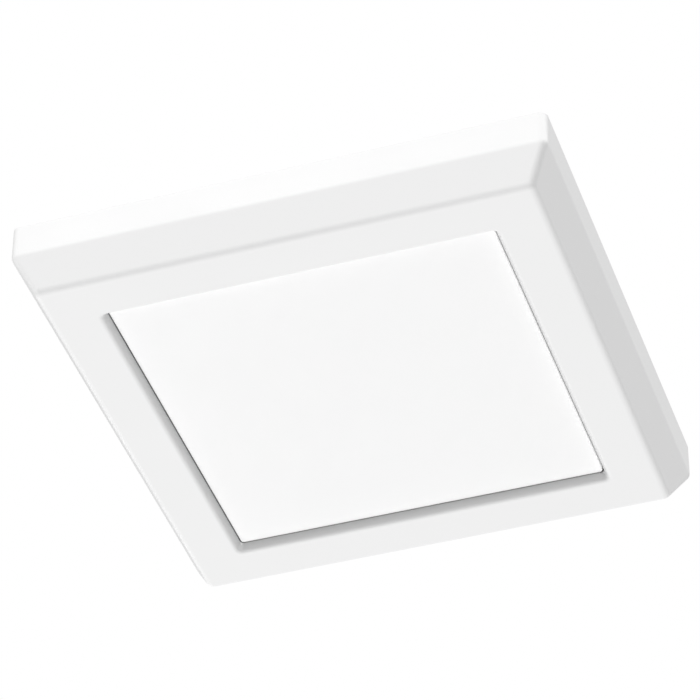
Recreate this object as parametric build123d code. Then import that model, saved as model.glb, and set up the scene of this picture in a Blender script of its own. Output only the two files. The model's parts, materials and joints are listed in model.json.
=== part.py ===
from build123d import *
import os
from math import floor, hypot, pi, radians, sin, tan

# Square surface-mounted LED ceiling light, edge-lit.
# Millimetres. The origin is the middle of the ceiling face, +Z points up into the ceiling,
# so the whole light hangs below z = 0. The near side is -Y.

# Housing casting
SIDE = 225.0  # across the outer walls
WALL_DROP = 15.0  # height of the upright wall
BEVEL_DROP = 15.5  # height of the sloping bevel
BEVEL_RUN = 8.4  # how far the bevel comes in
SHELL = 2.5  # thickness of the casting
EDGE_RADIUS = 3.5  # rounding of the outer edges
CAVITY_RADIUS = 1.0  # rounding of the inner edges

# Window in the front frame
FRAME_WIDTH = 30.6  # from the outer wall to the opening, at the diffuser's face
WINDOW_CORNER = 2.0  # corner radius of the opening
REVEAL_DROP = 3.5  # depth from the front to the diffuser's face
REVEAL_RUN = 1.7  # how far the reveal opens towards the front
REVEAL_RADIUS = 2.3  # rounding of the opening's front edge
LIP_WIDTH = 4.0  # seat for the diffuser's flange

# Optical stack, from the window up
FIELD_STEP = 1.2  # from the lip's seat to the face of the diffuser's field
FIELD_GAP = 0.6  # open joint round the field
FIELD_EDGE = 0.3  # rounding of the field's edge
GASKET_THICK = 0.5  # seal between the lip and the flange
GASKET_FIT = 0.1  # from the seal to the field's side
GASKET_INSET = 0.4  # seal stops this short of the lip's outer edge
FLANGE_THICK = 1.0
SEAT_LAP = 6.9  # how far flange, guide and film reach behind the lip
GUIDE_THICK = 3.0
GUIDE_CORNER = 8.0  # corner cut that leaves room for wires
REFLECTOR_THICK = 0.4
FOAM_THICK = 3.4
FOAM_CORNER = 14.0
FOAM_HOLE_RADIUS = 4.0  # room for screw tips
COVER_THICK = 0.8

# LED strips on the inner rib
LED_LENGTH = 3.5
LED_WIDTH = 2.8
LED_HEIGHT = 0.8
LED_GAP = 0.4  # from the LED's face to the guide's edge
LED_PITCH = 7.0
STRIP_THICK = 1.0
STRIP_WIDTH = 5.0
STRIP_END = 4.8  # strip stops this short of the guide's corner
RIB_THICK = 2.0

# Back cover and its screws
BOSS_RADIUS = 3.5
BOSS_BITE = 1.0  # how far a boss is grown into the rib
PILOT_DEPTH = 8.0
COVER_EDGE = 5.0  # from the screw line to the cover's edge
COVER_CORNER = 3.0
SCREW_RADIUS = 1.5
SCREW_FIT = 0.05  # between a screw and its hole
SCREW_HEAD_RADIUS = 2.8
SCREW_HEAD_HEIGHT = 1.8
SCREW_HEAD_EDGE = 0.6
SLOT_WIDTH = 0.7  # cross recess in a screw head
SLOT_DEPTH = 0.9
SLOT_REACH = 1.2  # length of the recess, in head radii
COVER_SCREW_LENGTH = 7.0
PLATE_SCREW_TIP = 1.6  # how far a screw reaches below the cover

# Ceiling bracket and its spring clips
BRACKET_WIDTH = 40.0
BRACKET_THICK = 1.2
BRACKET_BEND = 1.2  # inner bend radius
LEG_DROP = 13.4
CLIP_REACH = 4.8  # from the leg to the housing's wall
CLIP_CLEARANCE = 0.3  # from the nose of a clip to the wall
CLIP_THICK = 0.5
CLIP_WIDTH = 16.0
CLIP_TOP = 2.2  # top of a clip below the ceiling
CLIP_BOW = 3.0  # from the flat stretch down to the nose
CLIP_TAIL = 0.85  # share of the bow that returns below the nose
CLIP_RADIUS = 1.2
RIVET_RADIUS = 1.25
RIVET_HEAD_RADIUS = 2.0
RIVET_HEAD_HEIGHT = 0.8
RIVET_DOME = 0.64  # rounding of a rivet's head
RIVET_SPACING = 8.0
RIVET_MARGIN = 0.3  # from a rivet head to the ends of the clip's flat
GUIDE_RIB_THICK = 2.0
GUIDE_RIB_CLEARANCE = 0.6  # beside the bracket's leg
GUIDE_RIB_TOP = 1.0  # below the rim
CEILING_SLOT_SPACING = 120.0
CEILING_SLOT_LENGTH = 20.0
CEILING_SLOT_RADIUS = 2.25
DISH_RADIUS = 15.0  # pressed dish round the cable hole
DISH_RUN = 3.0
DISH_DROP = 2.5
CABLE_HOLE_RADIUS = 8.0
CABLE_BORE_RADIUS = 4.5
GROMMET_FLANGE = 2.5  # how far a grommet's flange passes its hole
GROMMET_FLANGE_THICK = 1.2
GROMMET_FIT = 0.05

# Driver
DRIVER_X = -8.0
DRIVER_Y = 56.0
DRIVER_LENGTH = 96.0
DRIVER_WIDTH = 36.0
DRIVER_HEIGHT = 14.5
DRIVER_PARTING = 8.6  # height of the base, where the lid sits
CASE_WALL = 1.6
CASE_CORNER = 2.0
CASE_EDGE = 1.2
LID_LIP = 1.0
LID_LIP_DROP = 2.0
LID_FIT = 0.2
EAR_LENGTH = 9.0
EAR_WIDTH = 14.0
EAR_THICK = 2.0
EAR_OFFSET = 30.0
POST_RADIUS = 2.0
POST_HEIGHT = 1.5
POST_INSET = 4.0
BOARD_THICK = 1.6
BOARD_MARGIN = 0.6
PART_HEADROOM = 0.5  # between the tallest piece on the board and the lid
CORE_LENGTH = 20.0
CORE_WIDTH = 22.0
CORE_END = 4.5
WINDING_INSET = 1.6
CAPACITOR_RADIUS = 3.6
CAPACITOR_LENGTH = 16.0
CAPACITOR_GAP = 1.5
CHOKE_RADIUS = 4.5
CHOKE_WAIST = 3.4
CHOKE_FLANGE = 1.2

# Push-in terminal block
TERMINAL_X = -22.0
TERMINAL_Y = -52.0
POLE_PITCH = 9.0
POLE_COUNT = 3
TERMINAL_LENGTH = 22.0
TERMINAL_END = 1.5  # wall past the outer poles' share of the width
TERMINAL_HEIGHT = 13.0
TERMINAL_TOP = 2.0
TERMINAL_WALL = 2.5
TERMINAL_EDGE = 0.6
TERMINAL_BASE_THICK = 1.6
TERMINAL_EAR = 8.0
POCKET_WIDTH = 6.4
SUPPLY_HOLE_RADIUS = 1.6
SUPPLY_HOLE_HEIGHT = 5.4
SUPPLY_FUNNEL = 0.8
BUTTON_AT = 4.5  # from the block's middle towards the supply side
BUTTON_LENGTH = 5.0
BUTTON_WIDTH = 4.0
BUTTON_PROUD = 2.2
BUTTON_COLLAR = 0.8
BUTTON_COLLAR_THICK = 1.2
BUTTON_CLEARANCE = 0.3
BUTTON_EDGE = 0.4
CONTACT_THICK = 0.8
CONTACT_WIDTH = 4.5
CONTACT_INSET = 1.0  # from the pocket's ends
TONGUE_START = -1.0
TONGUE_RUN = 4.5
TONGUE_RISE = 4.2
TONGUE_THICK = 0.6

# Earth point
EARTH_X = -64.0
EARTH_Y = -36.0
EARTH_SCREW_RADIUS = 2.0
EARTH_HEAD_RADIUS = 3.6
EARTH_HEAD_HEIGHT = 2.4
WASHER_RADIUS = 4.4
WASHER_THICK = 0.6
LUG_RADIUS = 4.0
LUG_THICK = 0.8
BARREL_LENGTH = 7.0
BARREL_WALL = 0.5

# Leads
BEND_SHARE = 0.45  # share of a run that one bend may take
LEAD_RADIUS = 1.2
LEAD_HOLE_FIT = 0.1
LED_LEAD_RADIUS = 0.6
LED_LEAD_STANDOFF = 0.05
LED_LEAD_OFFSET = 1.2  # each LED lead from the middle of its grommet
JUMPER_TURN = 4.0
JUMPER_LAP = 1.2
WIRE_GROMMET_RADIUS = 2.6
WIRE_GROMMET_FLANGE = 1.2
WIRE_GROMMET_THICK = 1.0
WIRE_HOLE_INSET = 2.0  # from the guide's side to the wire hole's middle

# Levels
HALF = SIDE / 2
FRONT_Z = -WALL_DROP - BEVEL_DROP
FACE_Z = FRONT_Z + REVEAL_DROP
SEAT_Z = FACE_Z + FIELD_STEP
FLANGE_Z = SEAT_Z + GASKET_THICK
GUIDE_Z = FLANGE_Z + FLANGE_THICK
REFLECTOR_Z = GUIDE_Z + GUIDE_THICK
FOAM_Z = REFLECTOR_Z + REFLECTOR_THICK
COVER_Z = FOAM_Z + FOAM_THICK
DECK_Z = COVER_Z + COVER_THICK
STRIP_Z = GUIDE_Z + GUIDE_THICK / 2

# Half sizes in plan
WINDOW_HALF = HALF - FRAME_WIDTH
FIELD_HALF = WINDOW_HALF - FIELD_GAP
FIELD_CORNER = max(WINDOW_CORNER - FIELD_GAP, 2 * FIELD_EDGE)
GUIDE_HALF = WINDOW_HALF + SEAT_LAP
STRIP_FACE = GUIDE_HALF + LED_GAP + LED_HEIGHT
RIB_IN = STRIP_FACE + STRIP_THICK
RIB_OUT = RIB_IN + RIB_THICK
BOSS_AT = RIB_OUT + BOSS_RADIUS - BOSS_BITE
COVER_HALF = BOSS_AT + COVER_EDGE
WALL_IN = HALF - SHELL
LEG_OUT = WALL_IN - CLIP_REACH
LEG_IN = LEG_OUT - BRACKET_THICK
STRIP_LENGTH = 2 * (GUIDE_HALF - STRIP_END)
WIRE_AT = GUIDE_HALF - WIRE_HOLE_INSET
CLIP_BASE = 2 * (RIVET_HEAD_RADIUS + RIVET_MARGIN) + CLIP_RADIUS  # flat stretch that is riveted

# Screw places
BOSS_PLACES = [
    (x * BOSS_AT, y * BOSS_AT) for x in (-1, 0, 1) for y in (-1, 0, 1) if x or y
]
DRIVER_EAR_Y = (DRIVER_WIDTH + EAR_LENGTH) / 2
DRIVER_SCREWS = [
    (DRIVER_X + s * EAR_OFFSET, DRIVER_Y + s * DRIVER_EAR_Y) for s in (-1, 1)
]
TERMINAL_WIDTH = POLE_COUNT * POLE_PITCH + 2 * TERMINAL_END
TERMINAL_EAR_Y = (TERMINAL_WIDTH + TERMINAL_EAR) / 2
TERMINAL_SCREWS = [(TERMINAL_X, TERMINAL_Y + s * TERMINAL_EAR_Y) for s in (-1, 1)]
POLE_Y = [TERMINAL_Y + (i - (POLE_COUNT - 1) / 2) * POLE_PITCH for i in range(POLE_COUNT)]

os.makedirs("parts", exist_ok=True)


def save(name, shape):
    """Writes one node's STEP file."""
    export_step(shape, f"parts/{name}.step")


def block(x0, x1, y0, y1, z0, z1):
    """A box between two corners."""
    middle = Pos((x0 + x1) / 2, (y0 + y1) / 2, (z0 + z1) / 2)
    return middle * Box(x1 - x0, y1 - y0, z1 - z0)


def block_at(x, y, length, width, z0, z1):
    """A box centred on a point in plan."""
    return block(x - length / 2, x + length / 2, y - width / 2, y + width / 2, z0, z1)


def rod(radius, x, y, z0, z1):
    """An upright cylinder between two levels."""
    return Pos(x, y, (z0 + z1) / 2) * Cylinder(radius, z1 - z0)


def rod_x(radius, x0, x1, y, z):
    """A cylinder along X."""
    return Pos((x0 + x1) / 2, y, z) * Rot(0, 90, 0) * Cylinder(radius, x1 - x0)


def square(half, corner=0.0):
    """A square outline, with rounded corners where a radius is given."""
    if corner > 0:
        return RectangleRounded(2 * half, 2 * half, corner)
    return Rectangle(2 * half, 2 * half)


def plate(half, z0, z1, corner=0.0):
    """A square plate between two levels."""
    return Pos(0, 0, z0) * extrude(square(half, corner), z1 - z0)


def taper(half_low, z_low, half_high, z_high, corner=0.0):
    """A square frustum with flat sides."""
    low = Pos(0, 0, z_low) * square(half_low, corner)
    high = Pos(0, 0, z_high) * square(half_high, corner)
    return loft([low, high], ruled=True)


def cut_corner_plate(half, cut, z0, z1):
    """A square plate whose four corners are cut at 45 degrees."""
    body = plate(half, z0, z1)
    return chamfer(body.edges().filter_by(Axis.Z), cut)


def pan_screw(x, y, seat, length, radius, head_radius, head_height):
    """A pan-head screw that points down, with a cross recess."""
    top = seat + head_height
    head = rod(head_radius, x, y, seat, top)
    head = fillet(head.edges().group_by(Axis.Z)[-1], SCREW_HEAD_EDGE)
    arm = SLOT_REACH * head_radius
    head -= block_at(x, y, arm, SLOT_WIDTH, top - SLOT_DEPTH, top)
    head -= block_at(x, y, SLOT_WIDTH, arm, top - SLOT_DEPTH, top)
    return head + rod(radius, x, y, seat - length, seat)


def ring_profile(points):
    """A solid of revolution about Z from (radius, z) points."""
    return revolve(make_face(Polyline([(r, 0, z) for r, z in points], close=True)), Axis.Z)


def grommet(hole_radius, flange, flange_thick, plate_low, plate_high):
    """A rubber grommet that grips a plate's hole from both sides, still without its bore."""
    neck = hole_radius - GROMMET_FIT
    outer = hole_radius + flange
    low = plate_low - flange_thick
    high = plate_high + flange_thick
    body = rod(outer, 0, 0, low, plate_low) + rod(neck, 0, 0, plate_low, plate_high)
    body += rod(outer, 0, 0, plate_high, high)
    rims = body.edges().filter_by(GeomType.CIRCLE).sort_by(Axis.Z)
    return fillet([rims[0], rims[-1]], flange_thick / 2)


def bend_radii(points):
    """The largest arc that each corner's two runs leave room for."""
    corners = zip(points, points[1:], points[2:])
    radii = []
    for before, here, after in corners:
        run_in = Vector(*here) - Vector(*before)
        run_out = Vector(*after) - Vector(*here)
        half_turn = radians(run_in.get_angle(run_out)) / 2
        radii.append(BEND_SHARE * min(run_in.length, run_out.length) / tan(half_turn))
    return radii


def lead(name, points, radius):
    """A wire along straight runs and tangent arcs."""
    radii = bend_radii(points)
    path = FilletPolyline(*points, radius=radii)
    start = Plane(origin=path @ 0, z_dir=path % 0)
    wire = sweep(start * Circle(radius), path=path)
    ratio = wire.volume / (path.length * pi * radius**2)
    smallest = min(radii)
    print(f"{name}: length {path.length:.1f}, volume ratio {ratio:.4f}, smallest bend {smallest:.2f}")
    return wire


# Housing


def housing_outside():
    """Wall, bevel and front, rounded on every outer edge, standing past the ceiling to be trimmed."""
    over = 3 * EDGE_RADIUS
    body = plate(HALF, -WALL_DROP, over) + taper(HALF - BEVEL_RUN, FRONT_Z, HALF, -WALL_DROP)
    edges = body.edges().filter_by(lambda e: e.center().Z < over * 0.9)
    return fillet(edges, EDGE_RADIUS) - plate(SIDE, 0, 2 * over)


def housing_cavity():
    """The hollow behind wall and bevel, one casting thickness in."""
    over = 3 * EDGE_RADIUS
    slant = hypot(BEVEL_RUN, BEVEL_DROP)
    across = BEVEL_DROP / slant
    down = BEVEL_RUN / slant
    break_z = -WALL_DROP + SHELL * (1 - across) / down
    floor_z = FRONT_Z + SHELL
    floor_half = HALF - (SHELL + down * (-WALL_DROP - floor_z)) / across
    body = plate(WALL_IN, break_z, over) + taper(floor_half, floor_z, WALL_IN, break_z)
    edges = body.edges().filter_by(lambda e: e.center().Z < over * 0.9)
    return fillet(edges, CAVITY_RADIUS)


def housing_window():
    """The opening: a straight land beside the diffuser and a reveal that opens to the front."""
    land = plate(WINDOW_HALF, FACE_Z, SEAT_Z + LIP_WIDTH, WINDOW_CORNER)
    front_half = WINDOW_HALF + REVEAL_RUN
    reveal = taper(front_half, FRONT_Z, WINDOW_HALF, FACE_Z, WINDOW_CORNER)
    return land + reveal


def guide_ribs():
    """Ribs on the two side walls that keep the bracket's legs in line."""
    inner = BRACKET_WIDTH / 2 + GUIDE_RIB_CLEARANCE
    outer = inner + GUIDE_RIB_THICK
    low = -WALL_DROP
    ribs = []
    for side in (-1, 1):
        for end in (-1, 1):
            x = sorted((side * LEG_IN, side * (WALL_IN + SHELL / 2)))
            y = sorted((end * inner, end * outer))
            ribs.append(block(*x, *y, low, -GUIDE_RIB_TOP))
    return ribs


def make_housing():
    """Die-cast frame with the inner rib, the diffuser's lip, bosses and guide ribs."""
    floor_z = FRONT_Z + SHELL
    rooted = floor_z - SHELL / 2
    body = housing_outside() - housing_cavity()
    body += plate(RIB_OUT, rooted, COVER_Z) - plate(RIB_IN, rooted - SHELL, COVER_Z + SHELL)
    body += plate(WINDOW_HALF + LIP_WIDTH, rooted, SEAT_Z)
    for x, y in BOSS_PLACES:
        body += rod(BOSS_RADIUS, x, y, rooted, COVER_Z)
    for rib in guide_ribs():
        body += rib
    body -= housing_window()
    for x, y in BOSS_PLACES:
        body -= rod(SCREW_RADIUS + SCREW_FIT, x, y, COVER_Z - PILOT_DEPTH, COVER_Z)
    front_half = WINDOW_HALF + REVEAL_RUN
    front_edges = body.edges().group_by(Axis.Z)[0]
    opening = front_edges.filter_by(lambda e: e.bounding_box().max.length < 1.5 * front_half)
    return fillet(opening, REVEAL_RADIUS)


# Optical stack


def make_diffuser():
    """Opal panel: a field in the window on a flange behind the lip."""
    field = plate(FIELD_HALF, FACE_Z, FLANGE_Z, FIELD_CORNER)
    field = fillet(field.edges().group_by(Axis.Z)[0], FIELD_EDGE)
    return field + cut_corner_plate(GUIDE_HALF, GUIDE_CORNER, FLANGE_Z, GUIDE_Z)


def make_gasket():
    """Flat seal round the field, between the lip and the flange."""
    outer = WINDOW_HALF + LIP_WIDTH - GASKET_INSET
    body = plate(outer, SEAT_Z, FLANGE_Z, WINDOW_CORNER + LIP_WIDTH - GASKET_INSET)
    return body - plate(FIELD_HALF + GASKET_FIT, SEAT_Z, FLANGE_Z, FIELD_CORNER + GASKET_FIT)


def make_foam():
    """Foam sheet with room for the tips of the screws in the cover."""
    body = cut_corner_plate(GUIDE_HALF, FOAM_CORNER, FOAM_Z, COVER_Z)
    for x, y in DRIVER_SCREWS + TERMINAL_SCREWS + [(EARTH_X, EARTH_Y)]:
        body -= rod(FOAM_HOLE_RADIUS, x, y, FOAM_Z, COVER_Z)
    return body


def make_strip():
    """Circuit board on the +X side of the rib."""
    half_width = STRIP_WIDTH / 2
    half_length = STRIP_LENGTH / 2
    return block(
        STRIP_FACE, RIB_IN, -half_length, half_length, STRIP_Z - half_width, STRIP_Z + half_width
    )


def make_leds():
    """LED packages on the +X strip, each with a cut corner that marks its polarity."""
    count = floor(STRIP_LENGTH / LED_PITCH)
    packages = []
    for i in range(count):
        y = (i - (count - 1) / 2) * LED_PITCH
        body = Box(LED_HEIGHT, LED_LENGTH, LED_WIDTH)
        mark = body.edges().filter_by(Axis.X).sort_by(lambda e: e.center().Y + e.center().Z)[-1]
        body = chamfer(mark, LED_WIDTH / 6)
        packages.append(Pos(STRIP_FACE - LED_HEIGHT / 2, y, STRIP_Z) * body)
    return Compound(children=packages)


def make_jumpers():
    """Wires from strip to strip round the three corners that have no feed."""
    line = STRIP_FACE - LED_LEAD_RADIUS - LED_LEAD_STANDOFF
    end = STRIP_LENGTH / 2 - JUMPER_LAP
    corner = [(line, end, STRIP_Z), (line, line, STRIP_Z), (end, line, STRIP_Z)]
    path = FilletPolyline(*corner, radius=JUMPER_TURN)
    start = Plane(origin=path @ 0, z_dir=path % 0)
    wire = sweep(start * Circle(LED_LEAD_RADIUS), path=path)
    return Compound(children=[Rot(0, 0, 90 * k) * wire for k in (1, 2, 3)])


# Back cover


def make_cover():
    """Steel sheet that closes the light chamber and carries driver, terminal and earth."""
    body = plate(COVER_HALF, COVER_Z, DECK_Z, COVER_CORNER)
    hole = SCREW_RADIUS + SCREW_FIT
    for x, y in BOSS_PLACES + DRIVER_SCREWS + TERMINAL_SCREWS:
        body -= rod(hole, x, y, COVER_Z, DECK_Z)
    body -= rod(EARTH_SCREW_RADIUS + SCREW_FIT, EARTH_X, EARTH_Y, COVER_Z, DECK_Z)
    return body - rod(WIRE_GROMMET_RADIUS, WIRE_AT, WIRE_AT, COVER_Z, DECK_Z)


def make_cover_screws():
    """Screws into the casting's bosses."""
    size = (COVER_SCREW_LENGTH, SCREW_RADIUS, SCREW_HEAD_RADIUS, SCREW_HEAD_HEIGHT)
    return Compound(children=[pan_screw(x, y, DECK_Z, *size) for x, y in BOSS_PLACES])


def plate_screws(places, thickness):
    """Screws through a foot of the given thickness into the back cover."""
    seat = DECK_Z + thickness
    length = thickness + COVER_THICK + PLATE_SCREW_TIP
    size = (length, SCREW_RADIUS, SCREW_HEAD_RADIUS, SCREW_HEAD_HEIGHT)
    return Compound(children=[pan_screw(x, y, seat, *size) for x, y in places])


def led_lead_places():
    """Where the two LED leads pass the back cover, either side of the corner's diagonal."""
    aside = LED_LEAD_OFFSET * sin(radians(45))
    return (WIRE_AT - aside, WIRE_AT + aside), (WIRE_AT + aside, WIRE_AT - aside)


def make_wire_grommet():
    """Grommet in the back cover, with one hole for each LED lead."""
    size = (WIRE_GROMMET_RADIUS, WIRE_GROMMET_FLANGE, WIRE_GROMMET_THICK, COVER_Z, DECK_Z)
    body = Pos(WIRE_AT, WIRE_AT, 0) * grommet(*size)
    for x, y in led_lead_places():
        hole = LED_LEAD_RADIUS + LED_LEAD_STANDOFF
        body -= rod(hole, x, y, COVER_Z - 2 * WIRE_GROMMET_THICK, DECK_Z + 2 * WIRE_GROMMET_THICK)
    return body


# Ceiling bracket


def bend_edges(body, x, z):
    """The two edges along Y that lie this far either side of the middle, at one level."""
    near = 0.01
    along = body.edges().filter_by(Axis.Y).filter_by(lambda e: abs(e.center().Z - z) < near)
    return along.filter_by(lambda e: abs(abs(e.center().X) - x) < near)


def make_bracket():
    """Bent steel bar with two legs, two screw slots and a dished cable hole."""
    half = BRACKET_WIDTH / 2
    low = -BRACKET_THICK
    body = block(-LEG_OUT, LEG_OUT, -half, half, low, 0)
    body += block(-LEG_OUT, -LEG_IN, -half, half, -LEG_DROP, 0)
    body += block(LEG_IN, LEG_OUT, -half, half, -LEG_DROP, 0)
    body = fillet(bend_edges(body, LEG_IN, low), BRACKET_BEND)
    body = fillet(bend_edges(body, LEG_OUT, 0), BRACKET_BEND + BRACKET_THICK)
    rim = DISH_RADIUS + DISH_RUN
    dish_low = low - DISH_DROP
    dish = ring_profile([(0, 0), (rim, 0), (rim, low), (DISH_RADIUS, dish_low), (0, dish_low)])
    hollow = ring_profile([(0, 0), (rim, 0), (DISH_RADIUS, -DISH_DROP), (0, -DISH_DROP)])
    body = body + dish - hollow
    body -= rod(CABLE_HOLE_RADIUS, 0, 0, 2 * (low - DISH_DROP), 0)
    for side in (-1, 1):
        slot = SlotOverall(CEILING_SLOT_LENGTH, 2 * CEILING_SLOT_RADIUS)
        body -= Pos(side * CEILING_SLOT_SPACING / 2, 0, low) * extrude(slot, BRACKET_THICK)
    for side in (-1, 1):
        for y, z in rivet_places():
            x = sorted((side * LEG_IN, side * LEG_OUT))
            body -= rod_x(RIVET_RADIUS + SCREW_FIT, *x, y, z)
    return body


def rivet_places():
    """The (y, z) places of a clip's rivets."""
    z = -CLIP_TOP - RIVET_MARGIN - RIVET_HEAD_RADIUS
    return [(-RIVET_SPACING / 2, z), (RIVET_SPACING / 2, z)]


def make_clip():
    """Leaf spring on the +X leg: a riveted flat, then a bow whose nose bears on the wall."""
    base_x = LEG_OUT + CLIP_THICK / 2
    reach = WALL_IN - CLIP_CLEARANCE - CLIP_THICK / 2 - base_x
    slope = hypot(reach, CLIP_BOW) / CLIP_BOW
    tip_x = base_x + reach + CLIP_RADIUS * (slope - 1)
    bend_z = -CLIP_TOP - CLIP_BASE
    nose_z = bend_z - CLIP_BOW
    tail_x = tip_x - CLIP_TAIL * (tip_x - base_x)
    tail_z = nose_z - CLIP_TAIL * CLIP_BOW
    points = [(base_x, -CLIP_TOP), (base_x, bend_z), (tip_x, nose_z), (tail_x, tail_z)]
    line = FilletPolyline(*points, radius=CLIP_RADIUS)
    side_view = Plane.XZ * trace(line, CLIP_THICK)
    body = extrude(side_view, CLIP_WIDTH / 2, both=True)
    for y, z in rivet_places():
        body -= rod_x(RIVET_RADIUS + SCREW_FIT, LEG_OUT, LEG_OUT + CLIP_THICK, y, z)
    return body


def make_rivets():
    """Rivets through the legs and the clips, with a domed head on each side."""
    rivets = []
    for y, z in rivet_places():
        inner = rod_x(RIVET_HEAD_RADIUS, LEG_IN - RIVET_HEAD_HEIGHT, LEG_IN, y, z)
        inner = fillet(inner.edges().group_by(Axis.X)[0], RIVET_DOME)
        seat = LEG_OUT + CLIP_THICK
        outer = rod_x(RIVET_HEAD_RADIUS, seat, seat + RIVET_HEAD_HEIGHT, y, z)
        outer = fillet(outer.edges().group_by(Axis.X)[-1], RIVET_DOME)
        rivets.append(inner + rod_x(RIVET_RADIUS, LEG_IN, seat, y, z) + outer)
    turned = [Rot(0, 0, 180) * rivet for rivet in rivets]
    return Compound(children=rivets + turned)


def make_cable_grommet():
    """Grommet in the bracket's dish, where the supply cable comes in."""
    low = -BRACKET_THICK - DISH_DROP
    body = grommet(CABLE_HOLE_RADIUS, GROMMET_FLANGE, GROMMET_FLANGE_THICK, low, -DISH_DROP)
    return body - rod(CABLE_BORE_RADIUS, 0, 0, 2 * low, 0)


# Driver


def driver_shell(z0, z1, wall):
    """The driver's outline inset by a wall, between two levels."""
    length = DRIVER_LENGTH - 2 * wall
    width = DRIVER_WIDTH - 2 * wall
    outline = RectangleRounded(length, width, max(CASE_CORNER - wall, CASE_CORNER / 4))
    return Pos(DRIVER_X, DRIVER_Y, z0) * extrude(outline, z1 - z0)


DRIVER_FLOOR = DECK_Z + CASE_WALL
DRIVER_SPLIT = DECK_Z + DRIVER_PARTING
DRIVER_TOP = DECK_Z + DRIVER_HEIGHT
BOARD_TOP = DRIVER_FLOOR + POST_HEIGHT + BOARD_THICK
PART_HEIGHT = DRIVER_TOP - CASE_WALL - PART_HEADROOM - BOARD_TOP
DRIVER_IN_X = DRIVER_X - DRIVER_LENGTH / 2
DRIVER_OUT_X = DRIVER_X + DRIVER_LENGTH / 2
INPUT_Y = (DRIVER_Y + POLE_PITCH / 2, DRIVER_Y - POLE_PITCH / 2)
OUTPUT_Y = (DRIVER_Y + POLE_PITCH / 2, DRIVER_Y - POLE_PITCH / 2)


def lead_holes():
    """Holes on the parting line where leads enter and leave the driver."""
    through = 2 * CASE_WALL + LID_LIP
    thick = LEAD_RADIUS + LEAD_HOLE_FIT
    thin = LED_LEAD_RADIUS + LEAD_HOLE_FIT
    into = (DRIVER_IN_X - CASE_WALL, DRIVER_IN_X + through)
    out_of = (DRIVER_OUT_X - through, DRIVER_OUT_X + CASE_WALL)
    holes = [rod_x(thick, *into, y, DRIVER_SPLIT) for y in INPUT_Y]
    return holes + [rod_x(thin, *out_of, y, DRIVER_SPLIT) for y in OUTPUT_Y]


def make_driver_base():
    """Tray with screw ears and posts for the board."""
    body = driver_shell(DECK_Z, DRIVER_SPLIT, 0.0)
    for side, (x, y) in zip((-1, 1), DRIVER_SCREWS):
        reach = side * EAR_LENGTH / 2
        ends = sorted((y + reach, y - reach - side * CASE_WALL))
        ear = block(x - EAR_WIDTH / 2, x + EAR_WIDTH / 2, *ends, DECK_Z, DECK_Z + EAR_THICK)
        tips = ear.edges().filter_by(Axis.Z).filter_by(lambda e: abs(e.center().Y - y - reach) < 0.01)
        body += fillet(tips, CASE_CORNER)
    body -= driver_shell(DRIVER_FLOOR, DRIVER_SPLIT, CASE_WALL)
    for x, y in DRIVER_SCREWS:
        body -= rod(SCREW_RADIUS + SCREW_FIT, x, y, DECK_Z, DECK_Z + EAR_THICK)
    inset_x = DRIVER_LENGTH / 2 - CASE_WALL - POST_INSET
    inset_y = DRIVER_WIDTH / 2 - CASE_WALL - POST_INSET
    for sx in (-1, 1):
        for sy in (-1, 1):
            place = (DRIVER_X + sx * inset_x, DRIVER_Y + sy * inset_y)
            body += rod(POST_RADIUS, *place, DRIVER_FLOOR - CASE_WALL / 2, DRIVER_FLOOR + POST_HEIGHT)
    for hole in lead_holes():
        body -= hole
    return body


def make_driver_lid():
    """Cap with a lip that drops inside the tray."""
    body = driver_shell(DRIVER_SPLIT, DRIVER_TOP, 0.0)
    body = fillet(body.edges().group_by(Axis.Z)[-1], CASE_EDGE)
    lip_out = CASE_WALL + LID_FIT
    lip_in = lip_out + LID_LIP
    body += driver_shell(DRIVER_SPLIT - LID_LIP_DROP, DRIVER_SPLIT + CASE_WALL, lip_out)
    body -= driver_shell(DRIVER_SPLIT - LID_LIP_DROP, DRIVER_TOP - CASE_WALL, lip_in)
    for hole in lead_holes():
        body -= hole
    return body


def make_driver_board():
    """Circuit board on the tray's posts."""
    low = DRIVER_FLOOR + POST_HEIGHT
    margin = CASE_WALL + BOARD_MARGIN
    length = DRIVER_LENGTH - 2 * margin
    return block_at(DRIVER_X, DRIVER_Y, length, DRIVER_WIDTH - 2 * margin, low, BOARD_TOP)


def make_transformer():
    """Ferrite core with its winding between the two end pieces."""
    top = BOARD_TOP + PART_HEIGHT
    half_width = CORE_WIDTH / 2
    ends = []
    for side in (-1, 1):
        y = sorted((DRIVER_Y + side * half_width, DRIVER_Y + side * (half_width - CORE_END)))
        ends.append(block(DRIVER_X - CORE_LENGTH / 2, DRIVER_X + CORE_LENGTH / 2, *y, BOARD_TOP, top))
    length = CORE_LENGTH - 2 * WINDING_INSET
    inner = CORE_WIDTH - 2 * CORE_END
    spare = WINDING_INSET / 2
    winding = block_at(DRIVER_X, DRIVER_Y, length, inner, BOARD_TOP + spare, top - spare)
    winding = fillet(winding.edges().filter_by(Axis.Y), WINDING_INSET)
    return ends[0] + winding + ends[1]


def make_capacitors():
    """Two electrolytic capacitors lying side by side on the board."""
    radius = min(CAPACITOR_RADIUS, PART_HEIGHT / 2)
    x = DRIVER_X - CORE_LENGTH / 2 - CAPACITOR_GAP - CAPACITOR_LENGTH
    bodies = []
    for side in (-1, 1):
        y = DRIVER_Y + side * (radius + CAPACITOR_GAP / 2)
        body = rod_x(radius, x, x + CAPACITOR_LENGTH, y, BOARD_TOP + radius)
        ends = body.edges().filter_by(GeomType.CIRCLE)
        bodies.append(fillet(ends, radius / 6))
    return Compound(children=bodies)


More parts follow.
